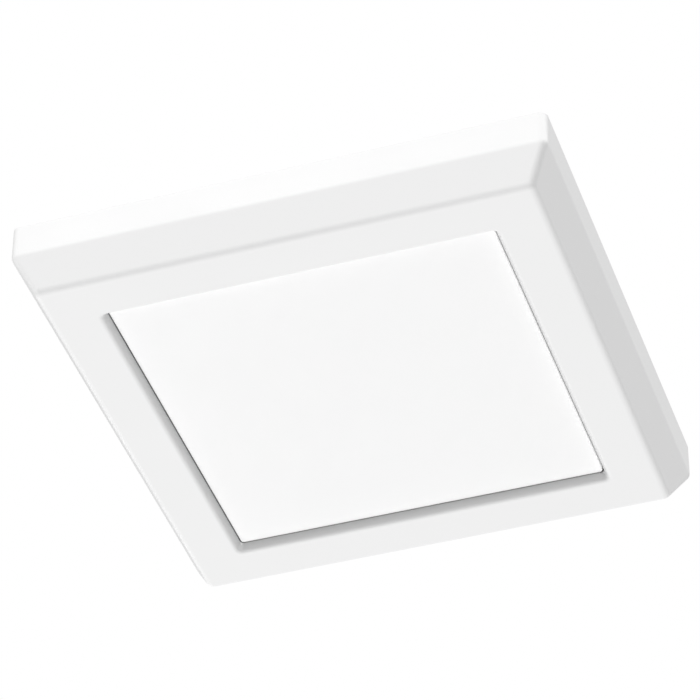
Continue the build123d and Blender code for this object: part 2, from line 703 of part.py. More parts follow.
def make_choke():
    """Drum-core choke standing on the board."""
    x = DRIVER_X + CORE_LENGTH / 2 + CAPACITOR_GAP + CHOKE_RADIUS
    top = BOARD_TOP + PART_HEIGHT
    body = rod(CHOKE_RADIUS, x, DRIVER_Y, BOARD_TOP, BOARD_TOP + CHOKE_FLANGE)
    body += rod(CHOKE_WAIST, x, DRIVER_Y, BOARD_TOP + CHOKE_FLANGE, top - CHOKE_FLANGE)
    return body + rod(CHOKE_RADIUS, x, DRIVER_Y, top - CHOKE_FLANGE, top)


# Terminal block

TERMINAL_LOW = DECK_Z + TERMINAL_BASE_THICK
TERMINAL_HIGH = DECK_Z + TERMINAL_HEIGHT
POCKET_TOP = TERMINAL_HIGH - TERMINAL_TOP
SUPPLY_X = TERMINAL_X + TERMINAL_LENGTH / 2
LEADS_X = TERMINAL_X - TERMINAL_LENGTH / 2
CONTACT_TOP = TERMINAL_LOW + CONTACT_THICK
LEAD_ENTRY_Z = CONTACT_TOP + LEAD_RADIUS + LEAD_HOLE_FIT
BUTTON_X = TERMINAL_X + BUTTON_AT


def make_terminal_base():
    """Insulating floor under the terminal block, with a screw ear at each end."""
    width = TERMINAL_WIDTH + 2 * TERMINAL_EAR
    outline = RectangleRounded(TERMINAL_LENGTH, width, CASE_CORNER)
    body = Pos(TERMINAL_X, TERMINAL_Y, DECK_Z) * extrude(outline, TERMINAL_BASE_THICK)
    for x, y in TERMINAL_SCREWS:
        body -= rod(SCREW_RADIUS + SCREW_FIT, x, y, DECK_Z, TERMINAL_LOW)
    return body


def make_terminal_block():
    """Body with one pocket for each pole, open underneath."""
    size = (TERMINAL_LENGTH, TERMINAL_WIDTH, TERMINAL_LOW, TERMINAL_HIGH)
    body = block_at(TERMINAL_X, TERMINAL_Y, *size)
    upper = body.edges().filter_by(lambda e: e.center().Z > TERMINAL_LOW + TERMINAL_EDGE)
    body = fillet(upper, TERMINAL_EDGE)
    pocket_length = TERMINAL_LENGTH - 2 * TERMINAL_WALL
    window_length = BUTTON_LENGTH + 2 * BUTTON_CLEARANCE
    window_width = BUTTON_WIDTH + 2 * BUTTON_CLEARANCE
    supply_z = DECK_Z + SUPPLY_HOLE_HEIGHT
    mouth = SUPPLY_HOLE_RADIUS + SUPPLY_FUNNEL
    funnel = Rot(0, 90, 0) * Cone(SUPPLY_HOLE_RADIUS, mouth, SUPPLY_FUNNEL)
    for y in POLE_Y:
        body -= block_at(TERMINAL_X, y, pocket_length, POCKET_WIDTH, TERMINAL_LOW, POCKET_TOP)
        body -= block_at(BUTTON_X, y, window_length, window_width, POCKET_TOP, TERMINAL_HIGH)
        body -= rod_x(SUPPLY_HOLE_RADIUS, SUPPLY_X - 2 * TERMINAL_WALL, SUPPLY_X, y, supply_z)
        body -= Pos(SUPPLY_X - SUPPLY_FUNNEL / 2, y, supply_z) * funnel
        body -= rod_x(LEAD_RADIUS + LEAD_HOLE_FIT, LEADS_X, LEADS_X + 2 * TERMINAL_WALL, y, LEAD_ENTRY_Z)
    return body


def make_contacts():
    """Brass bar and spring tongue of each pole."""
    half_pocket = TERMINAL_LENGTH / 2 - TERMINAL_WALL - CONTACT_INSET
    bar = block_at(0, 0, 2 * half_pocket, CONTACT_WIDTH, TERMINAL_LOW, CONTACT_TOP)
    root_z = CONTACT_TOP - CONTACT_THICK / 2
    line = Line((TONGUE_START, root_z), (TONGUE_START + TONGUE_RUN, root_z + TONGUE_RISE))
    tongue = extrude(Plane.XZ * trace(line, TONGUE_THICK), CONTACT_WIDTH / 2, both=True)
    below = block_at(0, 0, TERMINAL_LENGTH, TERMINAL_LENGTH, DECK_Z - CONTACT_WIDTH, TERMINAL_LOW)
    contact = bar + tongue - below
    return Compound(children=[Pos(TERMINAL_X, y, 0) * contact for y in POLE_Y])


def make_button(y):
    """Release button held in its window by a collar under the block's top."""
    collar_length = BUTTON_LENGTH + 2 * BUTTON_COLLAR
    collar_width = min(BUTTON_WIDTH + 2 * BUTTON_COLLAR, POCKET_WIDTH - 2 * BUTTON_CLEARANCE)
    top = TERMINAL_HIGH + BUTTON_PROUD
    stem = block_at(BUTTON_X, y, BUTTON_LENGTH, BUTTON_WIDTH, POCKET_TOP, top)
    stem = fillet(stem.edges().group_by(Axis.Z)[-1], BUTTON_EDGE)
    collar_low = POCKET_TOP - BUTTON_COLLAR_THICK
    return stem + block_at(BUTTON_X, y, collar_length, collar_width, collar_low, POCKET_TOP)


# Earth point

LUG_TOP = DECK_Z + LUG_THICK
WASHER_TOP = LUG_TOP + WASHER_THICK
BARREL_Z = DECK_Z + BARREL_WALL + LEAD_RADIUS + LEAD_HOLE_FIT
BARREL_X = EARTH_X + WASHER_RADIUS + LUG_THICK


def make_lug():
    """Ring terminal with a barrel for the earth lead."""
    outer = LEAD_RADIUS + LEAD_HOLE_FIT + BARREL_WALL
    body = rod(LUG_RADIUS, EARTH_X, EARTH_Y, DECK_Z, LUG_TOP)
    neck = (EARTH_Y - LEAD_RADIUS, EARTH_Y + LEAD_RADIUS)
    body += block(EARTH_X, BARREL_X + LUG_THICK, *neck, DECK_Z, LUG_TOP)
    body += rod_x(outer, BARREL_X, BARREL_X + BARREL_LENGTH, EARTH_Y, BARREL_Z)
    body -= rod_x(LEAD_RADIUS + LEAD_HOLE_FIT, BARREL_X, BARREL_X + BARREL_LENGTH, EARTH_Y, BARREL_Z)
    return body - rod(EARTH_SCREW_RADIUS + SCREW_FIT, EARTH_X, EARTH_Y, DECK_Z, LUG_TOP)


def make_washer():
    """Plain washer under the earth screw's head."""
    body = rod(WASHER_RADIUS, EARTH_X, EARTH_Y, LUG_TOP, WASHER_TOP)
    return body - rod(EARTH_SCREW_RADIUS + SCREW_FIT, EARTH_X, EARTH_Y, LUG_TOP, WASHER_TOP)


def make_earth_screw():
    """Screw that clamps the lug to the back cover."""
    length = WASHER_TOP - COVER_Z + PLATE_SCREW_TIP
    size = (length, EARTH_SCREW_RADIUS, EARTH_HEAD_RADIUS, EARTH_HEAD_HEIGHT)
    return pan_screw(EARTH_X, EARTH_Y, WASHER_TOP, *size)


# Leads: routes chosen by hand, on the back cover's upper face

RUN_Z = DECK_Z + LEAD_RADIUS + LEAD_HOLE_FIT
LEAD_START_X = TERMINAL_X - CONTACT_INSET
CASE_END_X = DRIVER_IN_X + 2 * CASE_WALL + LID_LIP
LED_CASE_END_X = DRIVER_OUT_X - 2 * CASE_WALL - LID_LIP
LED_RUN_Z = DECK_Z + LED_LEAD_RADIUS + LEAD_HOLE_FIT
STRIP_LINE = STRIP_FACE - LED_LEAD_RADIUS - LED_LEAD_STANDOFF
STRIP_PAD = STRIP_LENGTH / 2 - JUMPER_LAP
LIVE_Y, NEUTRAL_Y, EARTH_POLE_Y = POLE_Y
PLUS_AT, MINUS_AT = led_lead_places()
HUMP_Z = DECK_Z + 5.0
EXIT_X = DRIVER_OUT_X + 10.0
MIDWAY_X = (EXIT_X + WIRE_AT) / 2
MIDWAY_Y = (DRIVER_Y + WIRE_AT) / 2

LIVE_ROUTE = [
    (LEAD_START_X, LIVE_Y, LEAD_ENTRY_Z),
    (-48.0, LIVE_Y, LEAD_ENTRY_Z),
    (-71.0, -57.0, RUN_Z),
    (-85.0, -36.0, RUN_Z),
    (-88.5, 2.0, RUN_Z),
    (-85.0, 36.0, RUN_Z),
    (-77.0, 53.0, RUN_Z + 3.0),
    (-66.0, INPUT_Y[0], DRIVER_SPLIT),
    (CASE_END_X, INPUT_Y[0], DRIVER_SPLIT),
]
NEUTRAL_ROUTE = [
    (LEAD_START_X, NEUTRAL_Y, LEAD_ENTRY_Z),
    (-48.0, NEUTRAL_Y, LEAD_ENTRY_Z),
    (-65.0, -48.5, RUN_Z),
    (-76.0, -30.0, RUN_Z),
    (-79.5, 1.0, RUN_Z),
    (-77.0, 27.0, RUN_Z),
    (-72.5, 42.0, RUN_Z + 3.0),
    (-65.0, INPUT_Y[1], DRIVER_SPLIT),
    (CASE_END_X, INPUT_Y[1], DRIVER_SPLIT),
]
EARTH_ROUTE = [
    (LEAD_START_X, EARTH_POLE_Y, LEAD_ENTRY_Z),
    (LEADS_X - 6.0, EARTH_POLE_Y, LEAD_ENTRY_Z),
    (BARREL_X + BARREL_LENGTH + 5.0, EARTH_Y, BARREL_Z),
    (BARREL_X, EARTH_Y, BARREL_Z),
]
PLUS_ROUTE = [
    (LED_CASE_END_X, OUTPUT_Y[0], DRIVER_SPLIT),
    (EXIT_X, OUTPUT_Y[0], DRIVER_SPLIT),
    (MIDWAY_X - 5.4, MIDWAY_Y - 5.4, LED_RUN_Z + 2.0),
    (WIRE_AT - 12.8, WIRE_AT - 9.8, LED_RUN_Z),
    (WIRE_AT - 6.3, WIRE_AT - 3.8, HUMP_Z - 0.5),
    (*PLUS_AT, HUMP_Z),
    (*PLUS_AT, STRIP_Z + 2.5),
    (PLUS_AT[0] - 0.5, STRIP_LINE, STRIP_Z),
    (STRIP_PAD, STRIP_LINE, STRIP_Z),
]
MINUS_ROUTE = [
    (LED_CASE_END_X, OUTPUT_Y[1], DRIVER_SPLIT),
    (EXIT_X, OUTPUT_Y[1], DRIVER_SPLIT),
    (MIDWAY_X - 3.4, MIDWAY_Y - 13.4, LED_RUN_Z + 2.0),
    (WIRE_AT - 9.8, WIRE_AT - 15.8, LED_RUN_Z),
    (WIRE_AT - 3.8, WIRE_AT - 6.8, HUMP_Z - 0.5),
    (*MINUS_AT, HUMP_Z),
    (*MINUS_AT, STRIP_Z + 2.5),
    (STRIP_LINE, MINUS_AT[1] - 0.5, STRIP_Z),
    (STRIP_LINE, STRIP_PAD, STRIP_Z),
]


def build():
    """Makes every piece and writes it."""
    save("housing", make_housing())
    save("diffuser", make_diffuser())
    save("diffuser_gasket", make_gasket())
    save("light_guide", cut_corner_plate(GUIDE_HALF, GUIDE_CORNER, GUIDE_Z, REFLECTOR_Z))
    save("reflector_sheet", cut_corner_plate(GUIDE_HALF, GUIDE_CORNER, REFLECTOR_Z, FOAM_Z))
    save("foam_pad", make_foam())
    strip = make_strip()
    leds = make_leds()
    for turn, side in enumerate(("right", "far", "left", "near")):
        save(f"led_strip_{side}", Rot(0, 0, 90 * turn) * strip)
        save(f"leds_{side}", Rot(0, 0, 90 * turn) * leds)
    save("strip_jumpers", make_jumpers())
    save("back_cover", make_cover())
    save("cover_screws", make_cover_screws())
    save("wire_grommet", make_wire_grommet())
    save("ceiling_bracket", make_bracket())
    clip = make_clip()
    save("spring_clip_right", clip)
    save("spring_clip_left", Rot(0, 0, 180) * clip)
    save("clip_rivets", make_rivets())
    save("cable_grommet", make_cable_grommet())
    save("driver_base", make_driver_base())
    save("driver_lid", make_driver_lid())
    save("driver_board", make_driver_board())
    save("driver_transformer", make_transformer())
    save("driver_capacitors", make_capacitors())
    save("driver_choke", make_choke())
    save("driver_screws", plate_screws(DRIVER_SCREWS, EAR_THICK))
    save("terminal_base", make_terminal_base())
    save("terminal_block", make_terminal_block())
    save("terminal_contacts", make_contacts())
    save("terminal_screws", plate_screws(TERMINAL_SCREWS, TERMINAL_BASE_THICK))
    for name, y in zip(("live", "neutral", "earth"), POLE_Y):
        save(f"{name}_button", make_button(y))
    save("earth_lug", make_lug())
    save("earth_washer", make_washer())
    save("earth_screw", make_earth_screw())
    save("live_lead", lead("live_lead", LIVE_ROUTE, LEAD_RADIUS))
    save("neutral_lead", lead("neutral_lead", NEUTRAL_ROUTE, LEAD_RADIUS))
    save("earth_lead", lead("earth_lead", EARTH_ROUTE, LEAD_RADIUS))
    save("led_lead_plus", lead("led_lead_plus", PLUS_ROUTE, LED_LEAD_RADIUS))
    save("led_lead_minus", lead("led_lead_minus", MINUS_ROUTE, LED_LEAD_RADIUS))


build()
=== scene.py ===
"""Looks of a square, surface-mounted LED ceiling light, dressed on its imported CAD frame."""
import json
import logging
import math
from dataclasses import dataclass
from enum import Enum
from typing import Callable, Optional, Sequence, Union

import bpy
from mathutils import Matrix, Vector


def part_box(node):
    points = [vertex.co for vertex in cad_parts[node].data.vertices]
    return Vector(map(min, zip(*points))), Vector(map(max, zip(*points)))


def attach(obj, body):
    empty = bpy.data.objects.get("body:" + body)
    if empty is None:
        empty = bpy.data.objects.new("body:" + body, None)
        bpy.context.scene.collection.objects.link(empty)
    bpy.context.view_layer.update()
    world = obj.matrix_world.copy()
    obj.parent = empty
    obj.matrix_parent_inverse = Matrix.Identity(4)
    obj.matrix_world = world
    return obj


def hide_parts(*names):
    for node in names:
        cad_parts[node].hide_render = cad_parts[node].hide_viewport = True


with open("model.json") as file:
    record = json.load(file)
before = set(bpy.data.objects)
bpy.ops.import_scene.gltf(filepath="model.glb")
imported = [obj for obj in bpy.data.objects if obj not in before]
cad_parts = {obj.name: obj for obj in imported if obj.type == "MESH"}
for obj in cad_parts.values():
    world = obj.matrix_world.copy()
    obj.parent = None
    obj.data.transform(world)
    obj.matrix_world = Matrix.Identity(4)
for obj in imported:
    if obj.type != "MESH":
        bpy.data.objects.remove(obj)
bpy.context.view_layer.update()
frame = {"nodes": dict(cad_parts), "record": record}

LOG = logging.getLogger("ceiling_light")
MM = 0.001
HAIR = 0.01 * MM  # places that are closer than this are the same
ALONG = 0.99  # cosine from which two directions are the same
ACROSS = 0.01  # cosine up to which two directions are square to each other
MIX_COLOURS = (6, 7)  # the Mix node's colour inputs, which share their names with others
MIX_RESULT = 2  # its colour output

Colour = tuple[float, float, float]
Point = Sequence[float]
Socket = bpy.types.NodeSocket
Feed = Union[Socket, float]
Paint = Union[Socket, Colour]
Box = tuple[Vector, Vector]


class Body(Enum):
    """The CAD bodies that pieces ride on."""

    BRACKET = "bracket"
    LAMP = "lamp"
    LIVE = "live_button"
    NEUTRAL = "neutral_button"
    EARTH = "earth_button"


class Look(Enum):
    """The way that a face looks, in the light's own frame."""

    UP = (0.0, 0.0, 1.0)
    DOWN = (0.0, 0.0, -1.0)


class Run(Enum):
    """The way that an edge runs."""

    UPRIGHT = "upright"
    LEVEL = "level"


class Axis(Enum):
    """An axis of the light's own frame, by its place in a vector."""

    X = 0
    Z = 2


class Kind(Enum):
    """A kind of pattern: its node, what the node measures and the output that is read."""

    CLOUDS = ("ShaderNodeTexNoise", "", "Fac")
    CELLS = ("ShaderNodeTexVoronoi", "F1", "Distance")
    CRYSTALS = ("ShaderNodeTexVoronoi", "F1", "Color")
    BORDERS = ("ShaderNodeTexVoronoi", "DISTANCE_TO_EDGE", "Distance")


def node_box(name: str) -> Box:
    """The lowest and highest corners of a CAD node."""
    low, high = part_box(name)
    return Vector(low), Vector(high)


# Node trees


@dataclass(frozen=True)
class Pattern:
    """A pattern, with its features per metre, its octaves and its stretch.

    Where a span of it is given, that span is read, and mapped onto bottom to top.
    """

    scale: float
    detail: float = 2.0
    kind: Kind = Kind.CLOUDS
    stretch: Optional[Point] = None
    span: Optional[tuple[float, float]] = None
    bottom: float = 0.0
    top: float = 1.0


class Graph:
    """Builds a node tree, with patterns on Object coordinates."""

    def __init__(self, tree: bpy.types.NodeTree) -> None:
        """Takes over a tree."""
        self.tree = tree

    def put(self, socket: Socket, value: Union[Feed, Point]) -> None:
        """Links or sets one input.

        Args:
            socket: The input to feed.
            value: An output to link, or a constant.
        """
        if isinstance(value, bpy.types.NodeSocket):
            self.tree.links.new(value, socket)
        else:
            socket.default_value = value

    def add(self, node_type: str, **inputs: Union[Feed, Point]) -> bpy.types.Node:
        """Adds a node.

        Args:
            node_type: The type of node.
            inputs: What its inputs are fed, by name.

        Returns:
            The node.
        """
        node = self.tree.nodes.new(node_type)
        for name, value in inputs.items():
            self.put(node.inputs[name], value)
        return node

    def place(self) -> Socket:
        """The Object coordinates."""
        return self.add("ShaderNodeTexCoord").outputs["Object"]

    def pattern(self, pattern: Pattern) -> Socket:
        """Makes a pattern.

        Args:
            pattern: What it is like.

        Returns:
            Its value.
        """
        node_type, feature, output = pattern.kind.value
        place = self.place()
        if pattern.stretch:
            mapping = self.add("ShaderNodeMapping", Vector=place, Scale=pattern.stretch)
            place = mapping.outputs["Vector"]
        node = self.add(node_type, Vector=place, Scale=pattern.scale)
        if feature:
            node.feature = feature
        else:
            self.put(node.inputs["Detail"], pattern.detail)
        value = node.outputs[output]
        if pattern.span:
            value = self.ramp(value, *pattern.span, pattern.bottom, pattern.top)
        return value

    def math(self, how: str, a: Feed, b: Feed = 0.0) -> Socket:
        """One arithmetic step.

        Args:
            how: The operation's name.
            a: First value.
            b: Second value.

        Returns:
            The result.
        """
        node = self.add("ShaderNodeMath")
        node.operation = how
        self.put(node.inputs[0], a)
        self.put(node.inputs[1], b)
        return node.outputs[0]

    def above(self, value: Socket, limit: Feed) -> Socket:
        """1 where a value is above a limit."""
        return self.math("GREATER_THAN", value, limit)

    def below(self, value: Socket, limit: Feed) -> Socket:
        """1 where a value is below a limit."""
        return self.math("LESS_THAN", value, limit)

    def size(self, value: Socket) -> Socket:
        """A value without its sign."""
        return self.math("ABSOLUTE", value)

    def every(self, *masks: Socket) -> Socket:
        """Joins masks.

        Args:
            masks: Values from 0 to 1.

        Returns:
            1 where all of them are 1.
        """
        total = masks[0]
        for mask in masks[1:]:
            total = self.math("MULTIPLY", total, mask)
        return total

    def between(self, value: Socket, low: float, high: float) -> Socket:
        """1 where a value lies between two limits."""
        return self.every(self.above(value, low), self.below(value, high))

    def ramp(
        self, value: Socket, low: float, high: float, bottom: Feed = 0.0, top: Feed = 1.0,
    ) -> Socket:
        """Maps a span of one value onto another span, held at both ends.

        Args:
            value: The value to map.
            low: Start of its span.
            high: End of its span.
            bottom: Result at the start.
            top: Result at the end.

        Returns:
            The mapped value.
        """
        node = self.add("ShaderNodeMapRange")
        for socket, number in zip(node.inputs, (value, low, high, bottom, top)):
            self.put(socket, number)
        return node.outputs[0]

    def blend(self, share: Socket, first: Paint, second: Paint) -> Socket:
        """Mixes two colours.

        Args:
            share: How much of the second colour shows.
            first: Colour where the share is 0.
            second: Colour where the share is 1.

        Returns:
            The mixed colour.
        """
        node = self.add("ShaderNodeMix", Factor=share)
        node.data_type = "RGBA"
        for index, value in zip(MIX_COLOURS, (first, second)):
            plain = not isinstance(value, bpy.types.NodeSocket)
            self.put(node.inputs[index], (*value, 1.0) if plain else value)
        return node.outputs[MIX_RESULT]

    def split(self, vector: Socket) -> list[Socket]:
        """A vector's x, y and z."""
        return list(self.add("ShaderNodeSeparateXYZ", Vector=vector).outputs)

    def axes(self) -> list[Socket]:
        """The Object coordinates split into x, y and z."""
        return self.split(self.place())

    def tilt(self) -> Socket:
        """How far a surface looks up or down: 1 where it is level, 0 where it is upright."""
        return self.size(self.split(self.add("ShaderNodeNewGeometry").outputs["Normal"])[2])

    def reach(self, how: str = "MAXIMUM") -> Socket:
        """The MAXIMUM or MINIMUM of a point's distances from the middle along X and Y."""
        x, y, _ = self.axes()
        return self.math(how, self.size(x), self.size(y))

    def beat(self, value: Socket, pitch: float, shift: float = 0.0) -> Socket:
        """A wave of a coordinate, 1 at multiples of the pitch, moved by a share of the pitch."""
        turns = self.math("MULTIPLY", value, 2 * math.pi / pitch)
        return self.math("COSINE", self.math("ADD", turns, 2 * math.pi * shift))

    def seen(self, *rays: str) -> Socket:
        """Tells some kinds of rays from the rest.

        Args:
            rays: The light path outputs of those kinds.

        Returns:
            1 for rays of those kinds, 0 for the rest.
        """
        path = self.add("ShaderNodeLightPath")
        total = path.outputs[rays[0]]
        for name in rays[1:]:
            total = self.math("MAXIMUM", total, path.outputs[name])
        return total


class Coat(Graph):
    """Builds one material round a Principled shader."""

    def __init__(self, name: str) -> None:
        """Starts the material.

        Args:
            name: The material's name.
        """
        self.material = bpy.data.materials.new(name)
        self.material.use_nodes = True
        super().__init__(self.material.node_tree)
        self.shader = self.tree.nodes["Principled BSDF"]

    def set(self, name: str, value: Union[Feed, Point]) -> None:
        """Feeds one of the shader's inputs."""
        self.put(self.shader.inputs[name], value)

    def bump(self, height: Socket, depth: float) -> None:
        """Presses a height pattern into the surface, to a depth in metres."""
        node = self.add("ShaderNodeBump", Strength=1.0, Distance=depth, Height=height)
        self.set("Normal", node.outputs["Normal"])


# Finishes


def mottled(colour: Colour, loss: float) -> tuple[Colour, Colour]:
    """A colour that has lost a share of its brightness, and the colour itself."""
    return tuple(c * (1 - loss) for c in colour), colour


@dataclass(frozen=True)
class Finish:
    """A finish with two tones over a pattern, and patterns for its gloss and its fine relief.

    Without a pattern of its own, the gloss follows the tones and the relief follows the gloss.
    """

    slot: str
    tones: tuple[Colour, Colour]
    roughness: float = 0.45
    spread: float = 0.04
    tone: Pattern = Pattern(60.0, 4.0)
    gloss: Optional[Pattern] = None
    relief: Optional[Pattern] = None
    depth: float = 0.01 * MM
    metallic: float = 0.0
    gloss_span: tuple[float, float] = (0.3, 0.7)

    def mottle(self, coat: Coat) -> Socket:
        """The pattern that the tones follow."""
        return coat.pattern(self.tone)

    def base(self, coat: Coat, mottle: Socket) -> Socket:
        """The colour all over the surface."""
        return coat.blend(mottle, *self.tones)

    def height(self, coat: Coat, gloss: Socket) -> Socket:
        """The pattern that is pressed into the surface."""
        return coat.pattern(self.relief) if self.relief else gloss

    def paint(self, coat: Coat) -> None:
        """Feeds colour, roughness and bump.

        Args:
            coat: The material to build.
        """
        mottle = self.mottle(coat)
        gloss = coat.pattern(self.gloss) if self.gloss else mottle
        low, high = self.roughness - self.spread, self.roughness + self.spread
        coat.set("Metallic", self.metallic)
        coat.set("Base Color", self.base(coat, mottle))
        coat.set("Roughness", coat.ramp(gloss, *self.gloss_span, low, high))
        if self.depth:
            coat.bump(self.height(coat, gloss), self.depth)

    def material(self) -> bpy.types.Material:
        """Makes the finish's material.

        Returns:
            The material, with its node tree built.
        """
        coat = Coat(self.slot)
        self.paint(coat)
        return coat.material


@dataclass(frozen=True)
class PowderCoat(Finish):
    """White powder coat, with painted shade down the window's recess and on the joint, and a
    dusting inside.
    """

    # painted shade in the gap beside the diffuser: near-black, half strength at the front face,
    # full at the seat
    joint_shade_colour: Colour = (0.05, 0.05, 0.05)
    joint_shade_start: float = 0.5
    # painted shade at the bottom of the window's recess: 0.75 of the coat's brightness
    recess_shade_colour: Colour = (0.6675, 0.6675, 0.6675)
    recess_reach: float = 86.0 * MM
    front_level: float = -30.5 * MM
    bare_colour: Colour = (0.56, 0.57, 0.58)
    dust: Pattern = Pattern(1500.0, 5.0, span=(0.4, 0.62), bottom=0.5)
    window_half: float = 81.9 * MM
    face_level: float = -27.0 * MM
    seat_level: float = -25.8 * MM
    middle_half: float = 111.25 * MM
    wall_drop: float = 15.0 * MM
    bevel_slope: float = 8.4 / 15.5
    floor_level: float = -29.2 * MM
    rim_width: float = 3.0 * MM
    slack: float = 0.1 * MM

    def joint(self, coat: Coat, reach: Socket, level: Socket) -> Socket:
        """Finds the narrow land beside the diffuser's field, for painted shade that darkens with
        depth.

        Args:
            coat: The material to build.
            reach: Distance from the middle of the square.
            level: Height in the light's frame.

        Returns:
            How much of the joint's painted shade shows.
        """
        inner = coat.below(reach, self.window_half + self.slack)
        land = coat.between(level, self.face_level + self.slack, self.seat_level + self.slack)
        depth = coat.ramp(level, self.face_level, self.seat_level, self.joint_shade_start)
        return coat.every(inner, land, depth)

    def recess(self, coat: Coat, reach: Socket, level: Socket) -> Socket:
        """Finds the window's recess, which takes painted shade that gets darker with depth.

        Args:
            coat: The material to build.
            reach: Distance from the middle of the square.
            level: Height in the light's frame.

        Returns:
            How deep a point lies in it, from 0 at the front to 1 at the diffuser.
        """
        window = coat.between(reach, self.window_half - self.slack, self.recess_reach)
        outside = coat.below(level, self.face_level + self.slack)
        return coat.every(window, outside, coat.ramp(level, self.front_level, self.face_level))

    def inside(self, coat: Coat, reach: Socket, level: Socket) -> Socket:
        """Tells the faces that look into the casting from the rest.

        Args:
            coat: The material to build.
            reach: Distance from the middle of the square.
            level: Height in the light's frame.

        Returns:
            1 on the inner faces.
        """
        below_wall = coat.math("MAXIMUM", coat.math("SUBTRACT", -self.wall_drop, level), 0.0)
        drawn_in = coat.math("MULTIPLY", below_wall, self.bevel_slope)
        wall = coat.below(coat.math("ADD", reach, drawn_in), self.middle_half)
        depth = coat.between(level, self.floor_level, -2 * self.slack)
        clear = coat.above(reach, self.window_half + self.rim_width)
        behind = coat.above(level, self.seat_level - self.slack)
        return coat.every(wall, depth, coat.math("MAXIMUM", clear, behind))

    def base(self, coat: Coat, mottle: Socket) -> Socket:
        """Lays overspray, recess and joint over the coat.

        Args:
            coat: The material to build.
            mottle: The pattern that the tones follow.

        Returns:
            The colour all over the surface.
        """
        place = coat.reach(), coat.axes()[Axis.Z.value]
        colour = super().base(coat, mottle)
        oversprayed = coat.blend(coat.pattern(self.dust), self.bare_colour, colour)
        colour = coat.blend(self.inside(coat, *place), colour, oversprayed)
        # painted shade: the coat darkens down the window's reveal, towards the diffuser
        colour = coat.blend(self.recess(coat, *place), colour, self.recess_shade_colour)
        # painted shade: near-black on the land beside the diffuser's field, darker with depth
        return coat.blend(self.joint(coat, *place), colour, self.joint_shade_colour)


@dataclass(frozen=True)
class OpalSheet(Finish):
    """Opal acrylic that takes light in, with a painted glow on the sides of its field for light let
    out there.
    """

    scatter: float = 0.6
    scatter_depth: float = 1.0 * MM
    field_half: float = 81.3 * MM
    field_corner: float = 2.0 * MM
    flange_level: float = -25.3 * MM
    painted_glow: float = 0.42
    upright_tilt: float = 0.5
    slack: float = 0.05 * MM

    def edge(self, coat: Coat) -> Socket:
        """Finds the upright sides of the raised field that get the painted glow, between its
        corners, but not the near one.

        Args:
            coat: The material to build.

        Returns:
            1 on those sides.
        """
        _, y, level = coat.axes()
        upright = coat.below(coat.tilt(), self.upright_tilt)
        inner, outer = self.field_half - self.slack, self.field_half + self.slack
        side = coat.between(coat.reach(), inner, outer)
        straight = coat.below(coat.reach("MINIMUM"), self.field_half - self.field_corner)
        # the painted glow leaves out the near side
        shaded = coat.above(y, self.slack - self.field_half)
        return coat.every(upright, side, straight, shaded, coat.below(level, self.flange_level))

    def paint(self, coat: Coat) -> None:
        """Adds the milky depth to the satin face, and the painted glow of its sides.

        Args:
            coat: The material to build.
        """
        super().paint(coat)
        # painted light: the sides of the field glow, though the LEDs give no light
        coat.set("Emission Color", (*self.tones[1], 1.0))
        coat.set("Emission Strength", coat.math("MULTIPLY", self.edge(coat), self.painted_glow))
        # Sampled as a lamp, so faint a glow would mottle the face.
        coat.material.cycles.emission_sampling = "NONE"
        coat.set("Subsurface Weight", self.scatter)
        coat.set("Subsurface Radius", (1.0, 1.0, 1.0))
        coat.set("Subsurface Scale", self.scatter_depth)


@dataclass(frozen=True)
class DottedAcrylic(Finish):
    """Clear acrylic with a grid of printed dots that grow towards the middle."""

    pitch: float = 3.0 * MM
    half: float = 88.8 * MM
    dot_limits: tuple[float, float] = (0.9, 1.7)
    clear: float = 0.95
    dot_roughness: float = 0.7

    def paint(self, coat: Coat) -> None:
        """Feeds the clear sheet and its dots.

        Args:
            coat: The material to build.
        """
        x, y, _ = coat.axes()
        wave = coat.math("ADD", coat.beat(x, self.pitch), coat.beat(y, self.pitch))
        dots = coat.above(wave, coat.ramp(coat.reach(), 0.0, self.half, *self.dot_limits))
        coat.set("Base Color", self.base(coat, dots))
        coat.set("Transmission Weight", coat.ramp(dots, 0.0, 1.0, self.clear, 0.0))
        coat.set("Roughness", coat.ramp(dots, 0.0, 1.0, self.roughness, self.dot_roughness))


@dataclass(frozen=True)
class StripBoard(Finish):
    """White solder mask with a pair of tinned pads at each LED."""

    pitch: float = 7.0 * MM
    pad_colour: Colour = (0.62, 0.6, 0.56)
    pad_metallic: float = 0.8
    pad_low: float = -23.6 * MM
    pad_high: float = -22.0 * MM
    pad_shift: float = 0.25
    pad_limit: float = 0.8

    def pads(self, coat: Coat) -> Socket:
        """Finds the pads.

        Args:
            coat: The material to build.

        Returns:
            1 on a pad.
        """
        *plan, level = coat.axes()
        sides = [coat.size(coat.beat(axis, self.pitch, self.pad_shift)) for axis in plan]
        beside = coat.above(coat.math("MAXIMUM", *sides), self.pad_limit)
        return coat.every(beside, coat.between(level, self.pad_low, self.pad_high))

    def base(self, coat: Coat, mottle: Socket) -> Socket:
        """Lays the pads over the mask, and makes them metal.

        Args:
            coat: The material to build.
            mottle: The pattern that the tones follow.

        Returns:
            The colour all over the surface.
        """
        pads = self.pads(coat)
        coat.set("Metallic", coat.math("MULTIPLY", pads, self.pad_metallic))
        return coat.blend(pads, super().base(coat, mottle), self.pad_colour)


@dataclass(frozen=True)
class PhosphorFace(Finish):
    """A white LED package with a window of yellow phosphor, whose tones the finish gives."""

    package: Colour = (0.88, 0.88, 0.86)
    pitch: float = 7.0 * MM
    window_low: float = -23.8 * MM
    window_high: float = -21.8 * MM
    window_limit: float = 0.47

    def base(self, coat: Coat, mottle: Socket) -> Socket:
        """Sets the phosphor into the package.

        Args:
            coat: The material to build.
            mottle: The pattern that the tones follow.

        Returns:
            The colour all over the surface.
        """
        x, y, level = coat.axes()
        middle = coat.math("MAXIMUM", coat.beat(x, self.pitch), coat.beat(y, self.pitch))
        across = coat.above(middle, self.window_limit)
        window = coat.every(across, coat.between(level, self.window_low, self.window_high))
        return coat.blend(window, self.package, super().base(coat, mottle))


